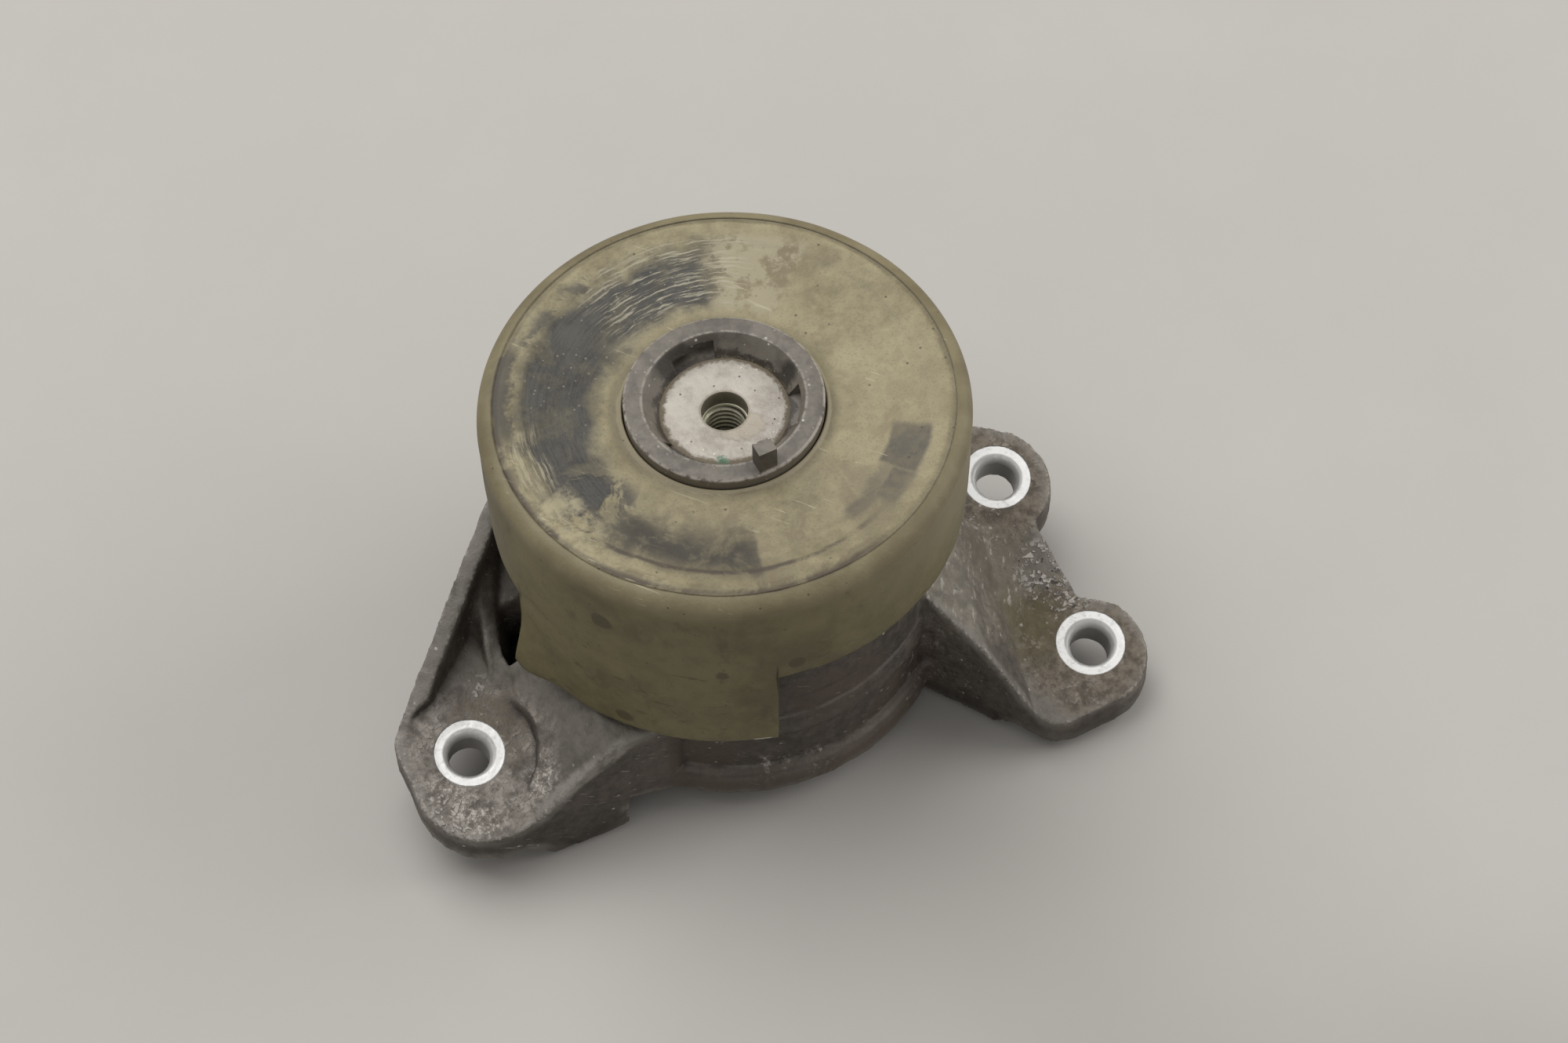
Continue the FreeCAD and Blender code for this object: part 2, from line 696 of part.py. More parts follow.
def make_spring_sleeve(doc):
    return turned_body(doc, "spring_sleeve", [
        ("sleeve_flange_radius", "sleeve_bottom"),
        ("barrel_bore_radius", "sleeve_bottom"),
        ("barrel_bore_radius", "barrel_top - barrel_lip_wall"),
        ("barrel_bore_radius - sleeve_wall", "barrel_top - barrel_lip_wall"),
        ("barrel_bore_radius - sleeve_wall", "sleeve_bottom + sleeve_wall"),
        ("sleeve_flange_radius", "sleeve_bottom + sleeve_wall"),
    ])


def make_rebound_disc(doc):
    return turned_body(doc, "rebound_disc", [
        ("core_rivet_radius", TAIL_END),
        ("rebound_disc_radius", TAIL_END),
        ("rebound_disc_radius", f"{TAIL_END} - rebound_disc_wall"),
        ("core_rivet_radius", f"{TAIL_END} - rebound_disc_wall"),
    ])


def drill_ports(body, turn):
    """A ring of ports over the decoupler, and one port into the channel."""
    sketch = sketch_on(body, "port_rim", "XY_Plane")
    circle(sketch, "port_circle_radius", "0", "port_radius")
    port = feature(body, "Pocket", "port", sketch, Length="through_length", Midplane=True)
    patterned(body, "ports", port, PORTS)
    sketch = sketch_on(body, "channel_port_rim", "XY_Plane")
    circle(sketch, *rim_point("0", "0", "channel_radius", turn), "channel_port_radius")
    feature(body, "Pocket", "channel_port", sketch, Length="through_length", Midplane=True)


def make_upper_channel_plate(doc):
    body = make_body(doc, "upper_channel_plate")
    low = "sleeve_bottom - channel_plate_wall"
    recess = "decoupler_wall / 2 + decoupler_gap"
    groove = f"{low} + (channel_plate_wall - seal_height) / 2"
    turned(body, "turning", [
        ("0", f"{low} + {recess}"),
        ("decoupler_radius + decoupler_gap", f"{low} + {recess}"),
        ("decoupler_radius + decoupler_gap", low),
        ("channel_radius - channel_width / 2", low),
        ("channel_radius - channel_width / 2", f"{low} + channel_depth"),
        ("channel_radius + channel_width / 2", f"{low} + channel_depth"),
        ("channel_radius + channel_width / 2", low),
        ("barrel_bore_radius", low),
        ("barrel_bore_radius", groove),
        ("barrel_bore_radius - seal_wall", groove),
        ("barrel_bore_radius - seal_wall", f"{groove} + seal_height"),
        ("barrel_bore_radius", f"{groove} + seal_height"),
        ("barrel_bore_radius", "sleeve_bottom"),
        ("0", "sleeve_bottom"),
    ])
    drill_ports(body, "channel_start_angle")
    return body


def make_lower_channel_plate(doc):
    body = make_body(doc, "lower_channel_plate")
    top = "sleeve_bottom - channel_plate_wall"
    recess = "decoupler_wall / 2 + decoupler_gap"
    turned(body, "turning", [
        ("0", PLATE_BOTTOM),
        ("barrel_bore_radius", PLATE_BOTTOM),
        ("barrel_bore_radius", top),
        ("decoupler_radius + decoupler_gap", top),
        ("decoupler_radius + decoupler_gap", f"{top} - ({recess})"),
        ("0", f"{top} - ({recess})"),
    ])
    drill_ports(body, "channel_end_angle")
    return body


def make_decoupler_disc(doc):
    middle = "sleeve_bottom - channel_plate_wall"
    return turned_body(doc, "decoupler_disc", [
        ("0", f"{middle} - decoupler_wall / 2"),
        ("decoupler_radius", f"{middle} - decoupler_wall / 2"),
        ("decoupler_radius", f"{middle} + decoupler_wall / 2"),
        ("0", f"{middle} + decoupler_wall / 2"),
    ])


def make_channel_seal(doc):
    low = "sleeve_bottom - channel_plate_wall + (channel_plate_wall - seal_height) / 2"
    return turned_body(doc, "channel_seal", [
        ("barrel_bore_radius - seal_wall", low),
        ("barrel_bore_radius", low),
        ("barrel_bore_radius", f"{low} + seal_height"),
        ("barrel_bore_radius - seal_wall", f"{low} + seal_height"),
    ])


def make_bellows(doc):
    fold_inner = "bellows_fold_radius - bellows_fold_width"
    return turned_body(doc, "bellows", [
        ("barrel_bore_radius", BELLOWS_BOTTOM),
        ("barrel_bore_radius", PLATE_BOTTOM),
        ("bellows_rim_radius", PLATE_BOTTOM),
        ("bellows_rim_radius - 2 * bellows_wall", f"{PLATE_BOTTOM} - bellows_wall"),
        ("bellows_fold_radius - bellows_wall / 2", "bellows_fold_bottom + bellows_wall"),
        (f"{fold_inner} + bellows_wall / 2", "bellows_fold_bottom + bellows_wall"),
        ("bellows_crown_radius + bellows_wall / 2", "bellows_crown_bottom + bellows_wall"),
        ("0", "bellows_crown_bottom + bellows_wall"),
        ("0", "bellows_crown_bottom"),
        ("bellows_crown_radius", "bellows_crown_bottom"),
        (fold_inner, "bellows_fold_bottom"),
        ("bellows_fold_radius", "bellows_fold_bottom"),
        ("bellows_rim_radius - bellows_wall", BELLOWS_BOTTOM),
    ])


def make_bellows_ring(doc):
    return turned_body(doc, "bellows_ring", [
        ("bellows_rim_radius", FLANGE_TOP),
        ("barrel_bore_radius", FLANGE_TOP),
        ("barrel_bore_radius", BELLOWS_BOTTOM),
        ("bellows_rim_radius", BELLOWS_BOTTOM),
    ])


def make_bottom_cup(doc):
    return turned_body(doc, "bottom_cup", [
        ("0", "0"),
        ("cup_base_radius", "0"),
        ("cup_mouth_radius", f"{FLANGE_TOP} - cup_wall"),
        ("barrel_bore_radius", f"{FLANGE_TOP} - cup_wall"),
        ("barrel_bore_radius", FLANGE_TOP),
        ("cup_mouth_radius - cup_wall", FLANGE_TOP),
        ("cup_base_radius - cup_wall", "cup_wall"),
        ("0", "cup_wall"),
    ])


def make_snap_ring(doc):
    top = f"{FLANGE_TOP} - cup_wall"
    outer = "barrel_bore_radius + snap_groove_depth"
    return turned_body(doc, "snap_ring", [
        (f"{outer} - snap_ring_width", f"{top} - snap_ring_height"),
        (outer, f"{top} - snap_ring_height"),
        (outer, top),
        (f"{outer} - snap_ring_width", top),
    ])


def check(doc, bodies):
    for thing in doc.Objects:
        if "Invalid" in thing.State or "Error" in thing.State:
            raise RuntimeError(f"{thing.Name} failed: {thing.State}")
    for body in bodies:
        if body.Shape.isNull() or not body.Shape.isValid() or len(body.Shape.Solids) != 1:
            raise RuntimeError(f"{body.Label} is not one sound solid")


def main():
    doc = FreeCAD.newDocument("engine_mount")
    make_sheet(doc)
    doc.recompute()
    makers = [
        make_bracket, make_heat_shield_cap, make_locating_ring, make_core, make_thread_insert,
        make_stop_plate, make_bump_buffer, make_main_spring, make_spring_sleeve, make_rebound_disc,
        make_upper_channel_plate, make_lower_channel_plate, make_decoupler_disc, make_channel_seal,
        make_bellows, make_bellows_ring, make_bottom_cup, make_snap_ring,
    ]
    bodies = [make(doc) for make in makers]
    doc.recompute()
    check(doc, bodies)
    os.makedirs("parts", exist_ok=True)
    for body in bodies:
        body.Shape.exportStep(f"parts/{body.Label}.step")
        print(f"{body.Label}: {body.Shape.Volume / 1000:.2f} cm3")


main()
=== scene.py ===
import math
import json
import bmesh
import bpy
import numpy as np
from mathutils import Matrix, Vector, noise


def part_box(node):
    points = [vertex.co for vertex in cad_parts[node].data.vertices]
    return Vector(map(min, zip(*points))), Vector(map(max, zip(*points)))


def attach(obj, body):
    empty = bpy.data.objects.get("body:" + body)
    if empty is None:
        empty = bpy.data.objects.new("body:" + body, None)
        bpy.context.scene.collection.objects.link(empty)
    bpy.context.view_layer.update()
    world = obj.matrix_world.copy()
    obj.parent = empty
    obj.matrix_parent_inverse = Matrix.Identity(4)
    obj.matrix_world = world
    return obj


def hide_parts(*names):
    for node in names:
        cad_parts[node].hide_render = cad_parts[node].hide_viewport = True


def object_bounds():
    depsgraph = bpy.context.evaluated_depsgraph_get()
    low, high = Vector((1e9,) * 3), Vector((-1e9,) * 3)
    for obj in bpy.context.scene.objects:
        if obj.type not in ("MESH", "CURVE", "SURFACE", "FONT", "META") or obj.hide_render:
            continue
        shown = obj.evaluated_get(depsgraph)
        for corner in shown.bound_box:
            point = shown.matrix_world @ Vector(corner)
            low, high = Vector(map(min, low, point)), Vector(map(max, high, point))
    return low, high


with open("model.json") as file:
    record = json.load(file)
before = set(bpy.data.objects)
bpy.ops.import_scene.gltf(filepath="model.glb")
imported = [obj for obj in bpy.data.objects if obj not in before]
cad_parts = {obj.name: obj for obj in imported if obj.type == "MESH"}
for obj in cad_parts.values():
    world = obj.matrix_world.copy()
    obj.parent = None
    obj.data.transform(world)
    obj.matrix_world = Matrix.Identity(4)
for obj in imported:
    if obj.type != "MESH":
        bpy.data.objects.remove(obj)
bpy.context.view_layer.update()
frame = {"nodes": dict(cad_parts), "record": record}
nodes = frame["nodes"]
mounts = {mount["name"]: mount for mount in frame["record"]["mounts"]}
mm = 0.001
toMm = 1000.0


class Wire:                         # a shader socket that takes part in sums

    def __init__(self, tree, socket):
        self.tree = tree
        self.socket = socket

    def node(self, kind, settings=None, inputs=None, output=0):
        made = self.tree.nodes.new(kind)
        for name, value in (settings or {}).items():
            setattr(made, name, value)
        for key, value in (inputs or {}).items():
            if isinstance(value, Wire):
                self.tree.links.new(value.socket, made.inputs[key])
            else:
                made.inputs[key].default_value = value
        return Wire(self.tree, made.outputs[output])

    def maths(self, operation, first, second=0.0):
        return self.node("ShaderNodeMath", {"operation": operation}, {0: first, 1: second})

    def vector(self, operation, first, second=(0.0, 0.0, 0.0), output=0):
        return self.node("ShaderNodeVectorMath", {"operation": operation}, {0: first, 1: second}, output)

    def __add__(self, other):
        return self.maths("ADD", self, other)

    def __sub__(self, other):
        return self.maths("SUBTRACT", self, other)

    def __rsub__(self, other):
        return self.maths("SUBTRACT", other, self)

    def __mul__(self, other):
        return self.maths("MULTIPLY", self, other)

    def __truediv__(self, other):
        return self.maths("DIVIDE", self, other)

    __radd__ = __add__
    __rmul__ = __mul__

    def orElse(self, other):        # the larger of two masks
        return self.maths("MAXIMUM", self, other)

    def step(self, low, high):      # 0 at low, 1 at high, smooth between; low may be the larger
        ends = {"From Min": low, "From Max": high}
        if low > high:
            ends = {"From Min": high, "From Max": low, "To Min": 1.0, "To Max": 0.0}
        return self.node("ShaderNodeMapRange", {"interpolation_type": "SMOOTHSTEP"}, {"Value": self, **ends})

    def within(self, middle, wide, narrow):         # 1 about a value, 0 further from it than wide
        away = self - middle
        return away.maths("ABSOLUTE", away).step(wide, narrow)


def linear(tone):                   # a 0-255 display colour as the linear colour a shader takes
    return tuple(((v / 255 + 0.055) / 1.055) ** 2.4 if v > 10 else v / 255 / 12.92 for v in tone)


class Finish:                       # one material, painted layer by layer in the tones of its piece

    def __init__(self, name, tones, roughness=0.6, metallic=0.0):
        self.material = bpy.data.materials.new(name)
        self.material.use_nodes = True
        self.tree = self.material.node_tree
        self.shader = self.tree.nodes["Principled BSDF"]
        self.shader.inputs["Roughness"].default_value = roughness
        self.shader.inputs["Metallic"].default_value = metallic
        self.tones = tones
        self.start = Wire(self.tree, None)
        self.place = self.start.node("ShaderNodeTexCoord", output=3)
        self.base = None

    def parts(self):                # x, y and z in millimetres
        split = self.start.node("ShaderNodeSeparateXYZ", {}, {0: self.place})
        outs = split.socket.node.outputs
        return [Wire(self.tree, outs[i]) * toMm for i in range(3)]

    def fromAxis(self, x, y):       # distance from the upright axis
        flat = self.start.node("ShaderNodeCombineXYZ", {}, {0: x, 1: y, 2: 0.0})
        return self.start.vector("LENGTH", flat, output=1)

    def stretched(self, along):     # the place, squeezed by a factor for each axis
        return self.start.node("ShaderNodeMapping", {}, {"Vector": self.place, "Scale": along})

    def drawnOut(self, factor, turn=0.0, tilt=0.0):     # noise on this runs long one way: turn, then tilt
        return self.start.node("ShaderNodeMapping", {"vector_type": "TEXTURE"}, {
            "Vector": self.place, "Rotation": (0.0, math.radians(tilt), math.radians(turn)),
            "Scale": (factor, 1.0, 1.0)})

    def warped(self, size, reach):  # the place, pushed about by noise, for cells that aren't round
        cloud = self.start.node("ShaderNodeTexNoise", {}, {"Vector": self.place, "Scale": toMm / size},
                                output=1)
        return self.start.node("ShaderNodeVectorMath", {"operation": "MULTIPLY_ADD"}, {
            0: cloud, 1: (reach * mm, reach * mm, reach * mm), 2: self.place})

    def grain(self, size, detail=4.0, rough=0.6, vector=None, twist=0.0):   # cloudy noise, size in mm
        return self.start.node("ShaderNodeTexNoise", {}, {
            "Vector": vector or self.place, "Scale": toMm / size, "Detail": detail,
            "Roughness": rough, "Distortion": twist})

    def cells(self, size, vector=None):     # distance from scattered points, spacing in mm
        return self.start.node("ShaderNodeTexVoronoi", {}, {
            "Vector": vector or self.place, "Scale": toMm / size})

    def carried(self, name):        # a number stored on the mesh
        return self.start.node("ShaderNodeAttribute", {"attribute_name": name}, output=2)

    def colour(self, tone):         # a tone's name, a tone or a wire
        if isinstance(tone, Wire):
            return tone
        return (*linear(self.tones[tone] if isinstance(tone, str) else tone), 1.0)

    def blend(self, low, high, amount):
        return self.start.node("ShaderNodeMix", {"data_type": "RGBA"}, {
            0: amount, 6: self.colour(low), 7: self.colour(high)}, output=2)

    def paint(self, tone, amount):  # lays a tone over what is there
        self.base = self.blend(self.base, tone, amount)

    def feed(self, socket, value):
        self.tree.links.new(value.socket, self.shader.inputs[socket])

    def done(self, roughness, height, depth, strength):     # depth of the relief in mm
        self.feed("Base Color", self.base)
        self.feed("Roughness", roughness)
        self.feed("Normal", self.start.node("ShaderNodeBump", {}, {
            "Height": height, "Distance": depth * mm, "Strength": strength}))
        return self


def added(name, data):              # an object in the scene
    made = bpy.data.objects.new(name, data)
    bpy.context.scene.collection.objects.link(made)
    return made


def cadLook(node, finish):
    mesh = nodes[node].data
    mesh.materials.clear()
    mesh.materials.append(finish.material)


def newPiece(name, mesh, finish, replaced):
    piece = added(name, mesh)
    mesh.materials.clear()
    mesh.materials.append(finish.material)
    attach(piece, "root")
    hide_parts(replaced)
    print(name + ":", len(mesh.vertices), "points")
    return piece


def applied(piece):                 # the mesh a piece has after its modifiers
    evaluated = piece.evaluated_get(bpy.context.evaluated_depsgraph_get())
    return bpy.data.meshes.new_from_object(evaluated)


def corners(mesh):
    places = np.zeros(len(mesh.vertices) * 3)
    mesh.vertices.foreach_get("co", places)
    return places.reshape(-1, 3)


def faceOut(mesh):
    normals = np.zeros(len(mesh.vertices) * 3)
    mesh.vertex_normals.foreach_get("vector", normals)
    return normals.reshape(-1, 3)


def smoothed(mesh):
    mesh.polygons.foreach_set("use_smooth", [True] * len(mesh.polygons))
    mesh.update()


def keep(mesh, name, values):       # stores a number at each point, for the finish
    stored = mesh.attributes.new(name, "FLOAT", "POINT")
    stored.data.foreach_set("value", np.asarray(values, dtype=np.float32))


def smooth(t):                      # 0 to 1 with an easy start and end
    t = min(1.0, max(0.0, t))
    return t * t * (3 - 2 * t)


def around(radius, turn, height):   # a place in mm, from a direction in degrees
    angle = math.radians(turn)
    return Vector((math.cos(angle) * radius, math.sin(angle) * radius, height))


def upward(finish):                 # 1 on faces that look up, 0 on walls
    normal = finish.start.node("ShaderNodeNewGeometry", output=1)
    return finish.start.node("ShaderNodeSeparateXYZ", {}, {0: normal}, output=2).step(0.45, 0.8)


def near(finish, centre, reach, soft, wobble=None):     # 1 inside a ball about a place
    away = finish.start.vector("DISTANCE", finish.place, Vector(centre) * mm, output=1) * toMm
    if wobble:
        away = away + wobble
    return away.step(reach + soft, reach - soft)


def beside(finish, first, second, width, soft):         # 1 along the line between two places
    span = (Vector(second) - Vector(first)) * mm
    away = finish.start.vector("SUBTRACT", finish.place, Vector(first) * mm)
    across = finish.start.vector("CROSS_PRODUCT", away, span.normalized())
    distance = finish.start.vector("LENGTH", across, output=1) * toMm
    run = finish.start.vector("DOT_PRODUCT", away, span / span.length_squared, output=1)
    return distance.step(width + soft, width) * run.step(-0.05, 0.08) * run.step(1.08, 0.9)


casting = {
    "voxel": 0.85,                  # mm
    "softening": 3,
    "sandScale": 900,               # lumps of the cast skin to the metre
    "sandDepth": 0.10,
    "waveScale": 160,
    "waveDepth": 0.22,
    "sharpness": 3,                 # rounds of evening out: fewer give a thinner worn edge
    "ridgeSpread": 14,
    "wornRing": 8.05,               # mm, bearing face of the bolts
    "wornSink": 0.12,
    "mouthLip": 0.8,                # mm, what counts as level with a bore's mouth
    "boreRim": 5.9,
    "boreEdge": 5.3,
    "boreWall": 4.75,
    "boreRun": (-7.4, -1.1),
    "boreEnd": -12,
    "seatShift": (0.25, 0.5),       # mm, of the worn ring's paint off its bore
    "webLine": (                    # x, y, height and width of the web between trough and window
        (-63.5, -6.0, 21.0, 5.0), (-61.0, 0.0, 24.5, 5.0), (-59.0, 6.0, 28.0, 5.4),
        (-56.8, 11.5, 32.0, 6.2), (-54.4, 18.0, 38.5, 7.4), (-51.4, 24.0, 45.5, 8.6)),
    "webDepth": 11.0,
    "shadeShelf": (-54.0, 9.0, 12.0),    # middle of the floor under the window, a dark shelf that stands in for shade
    "shelfReach": (11.0, 6.0, 1.6),
    "shelfTurn": 1.1,               # radians
    "barrel": 51.0,
    "band": 15.5,                   # height of the barrel's lower band
    "folds": ((15.4, 132, 0.9, 0.45), (34.2, 116, 0.7, 0.5), (27.0, 44, 0.8, 0.45),
              (13.4, 44, 0.7, 0.5), (41.0, 50, 0.9, 0.5)),      # height, grey, width, amount
    "spalls": (((29, -38, 12), 6.0), ((28, -38, 22), 5.0), ((-13, -45, 15), 4.0), ((-4, -48, 12), 4.0)),
    "crestHighlight": ((-72.0, -34.0, 18.5), (-44.0, -36.0, 35.0)),
    "marks": {                      # place, reach, softness and raggedness
        "leftEar": ((-75, -17, 21), 20, 3.0, 14), "earDirt": ((-66, -10, 21), 9, 4.0, 10),
        "frontEar": ((69, -50, 14), 19, 4.0, 14), "rearEar": ((69, -3, 23), 18, 4.0, 14),
        "slope": ((45, -25, 31), 20, 5.0, 0), "shoulder": ((58, -24, 24), 10, 5.0, 8),
        "olive": ((55, -39, 16.5), 9, 5.0, 12), "neck": ((70, -31, 17.5), 10.5, 2.5, 12),
        "behind": ((62, -13, 23), 6.5, 2.5, 8), "crustFront": ((-63.5, -27, 22), 5.5, 2.5, 8),
        "crustRear": ((-67, -1, 24), 5.0, 2.5, 8), "crustOuter": ((-85, -26, 19), 6.5, 3.0, 8),
        "chalkOuter": ((-86, -24, 19), 8, 4.0, 10), "chalkFront": ((-80, -31, 18), 6, 3.0, 8),
        "chalkInner": ((-62, -27, 22), 5, 3.0, 0),
    },
    "tones": {
        "shadedWallDark": (58, 52, 46), "shadedWallLight": (94, 86, 77), "topDark": (88, 83, 75),
        "topLight": (120, 114, 105), "ashDark": (96, 88, 80), "ashLight": (158, 150, 141),
        "earDirt": (96, 86, 68), "umberDark": (80, 69, 56), "umberLight": (128, 117, 101),
        "litChalkDark": (112, 105, 94), "litChalkLight": (150, 142, 128), "shoulder": (104, 94, 80),
        "olive": (92, 83, 52), "streak": (186, 180, 170), "patina": (74, 60, 51), "scratch": (160, 152, 142),
        "crust": (196, 188, 180), "rimChalk": (206, 199, 190), "pit": (58, 51, 45), "crestHighlight": (150, 145, 136),
        "spall": (176, 168, 160), "band": (104, 92, 80), "ridge": (140, 135, 127), "worn": (178, 171, 162),
        "hollowGrimeAndShade": (36, 31, 27), "chip": (200, 194, 186), "shadeShelf": (34, 30, 26), "underShade": (30, 27, 24),
        "seatDark": (214, 212, 207), "seatLight": (250, 249, 246), "bore": (158, 156, 152),
    },
}
boreNames = ("left_bore", "front_bore", "rear_bore")


def boreFrame(name):                # the middle of a bore's mouth, and its axis
    mount = mounts[name]
    axis = Vector(mount["axis"]).normalized()
    mouth = Vector(mount["pos_m"]) + axis * (mount["dims"]["length_mm"] / 2 + 0.9) * mm
    return np.array(mouth), np.array(axis)


def addWeb(mesh):                   # the web between the left arm's trough and its window, and the dark shelf that stands in for shade under it
    shape = bmesh.new()
    shape.from_mesh(mesh)
    web = []
    for x, y, top, width in casting["webLine"]:
        half = Vector((width / 2, width / 4, 0))
        foot = Vector((x, y, top - casting["webDepth"]))
        crown = Vector((x, y, top))
        web.append([shape.verts.new(p * mm) for p in (
            foot - half * 2, foot + half * 2, crown + half * 0.7, crown - half * 0.7)])
    length, breadth, thickness = casting["shelfReach"]
    turn = Vector((math.cos(casting["shelfTurn"]), math.sin(casting["shelfTurn"]), 0))
    side = Vector((-turn.y, turn.x, 0))
    shadeShelf = []
    for along in (-length, length):
        middle = Vector(casting["shadeShelf"]) + turn * along
        shadeShelf.append([shape.verts.new((middle + side * a * breadth + Vector((0, 0, b * thickness))) * mm)
                      for a, b in ((-1, -1), (1, -1), (1, 1), (-1, 1))])
    for run in (web, shadeShelf):
        for first, second in zip(run, run[1:]):
            for i in range(4):
                shape.faces.new((first[i], first[(i + 1) % 4], second[(i + 1) % 4], second[i]))
        shape.faces.new(run[0][::-1])
        shape.faces.new(run[-1])
    shape.to_mesh(mesh)
    shape.free()


def recast():                       # the bracket as one even skin of small faces
    source = added("bracketBlank", nodes["bracket"].data.copy())
    addWeb(source.data)
    remesh = source.modifiers.new("cast", "REMESH")
    remesh.mode = "VOXEL"
    remesh.voxel_size = casting["voxel"] * mm
    soften = source.modifiers.new("soften", "SMOOTH")
    soften.factor = 0.5
    soften.iterations = casting["softening"]
    mesh = applied(source)
    bpy.data.objects.remove(source)
    return mesh


def machineBores(places):           # flattens the bolts' faces and trues the bores; 1 where that was done
    machined = np.zeros(len(places))
    low, high = (end * mm for end in casting["boreRun"])
    lip = casting["mouthLip"] * mm
    edge = casting["boreEdge"] * mm
    for name in boreNames:
        mouth, axis = boreFrame(name)
        away = places - mouth
        height = away @ axis
        flat = away - np.outer(height, axis)
        radius = np.linalg.norm(flat, axis=1)
        face = (radius < casting["wornRing"] * mm) & (np.abs(height) < lip)
        bore = (radius < casting["boreRim"] * mm) & (height < lip) & (height > casting["boreEnd"] * mm)
        machined[face | bore] = 1.0
        seat = face & (radius > edge)
        places[seat] -= np.outer(height[seat] + casting["wornSink"] * mm, axis)
        wall = bore & (height < high) & (height > low) & (radius < edge)
        places[wall] -= flat[wall] * (1 - casting["boreWall"] * mm / radius[wall])[:, None]
    return machined


def edgeSharpness(places, normals, edges):      # above 0 on outer edges, below 0 in hollows
    total = np.zeros_like(places)
    count = np.zeros(len(places))
    for a, b in ((0, 1), (1, 0)):
        np.add.at(total, edges[:, a], places[edges[:, b]])
        np.add.at(count, edges[:, a], 1)
    offset = places - total / count[:, None]
    return spreadOut((offset * normals).sum(1) / mm, edges, casting["sharpness"])


def spreadOut(value, edges, rounds):            # each point's value, evened out with its neighbours'
    count = np.zeros(len(value))
    for a in (0, 1):
        np.add.at(count, edges[:, a], 1)
    for again in range(rounds):
        total = np.zeros(len(value))
        for a, b in ((0, 1), (1, 0)):
            np.add.at(total, edges[:, a], value[edges[:, b]])
        value = 0.4 * value + 0.6 * total / count
    return value


def castBracket(finish):
    mesh = recast()
    places = corners(mesh)
    normals = faceOut(mesh)
    edges = np.zeros(len(mesh.edges) * 2, dtype=np.int64)
    mesh.edges.foreach_get("vertices", edges)
    edges = edges.reshape(-1, 2)
    curve = edgeSharpness(places, normals, edges)
    sand = np.array([noise.noise(Vector(p) * casting["sandScale"]) for p in places])
    wave = np.array([noise.fractal(Vector(p) * casting["waveScale"], 1.0, 2.0, 3) for p in places])
    machined = machineBores(places)
    shift = (sand * casting["sandDepth"] + wave * casting["waveDepth"]) * mm * (1 - machined)
    places += normals * shift[:, None]
    mesh.vertices.foreach_set("co", places.ravel())
    keep(mesh, "edge", curve)
    keep(mesh, "ridge", spreadOut(curve, edges, casting["ridgeSpread"]))
    smoothed(mesh)
    return newPiece("bracketCasting", mesh, finish, "bracket")


def boreMask(finish, name):         # distance from a bore's axis and height above its mouth
    mouth, axis = boreFrame(name)
    along, across = casting["seatShift"]
    side = Vector((1, 0, 0))
    centre = Vector(mouth) + (side * along + Vector(axis).cross(side) * across) * mm
    away = finish.start.vector("SUBTRACT", finish.place, centre)
    height = finish.start.vector("DOT_PRODUCT", away, Vector(axis), output=1)
    distance = finish.start.vector("LENGTH", away, output=1)
    square = (distance * distance - height * height).orElse(0.0)
    return square.maths("SQRT", square) * toMm, height * toMm


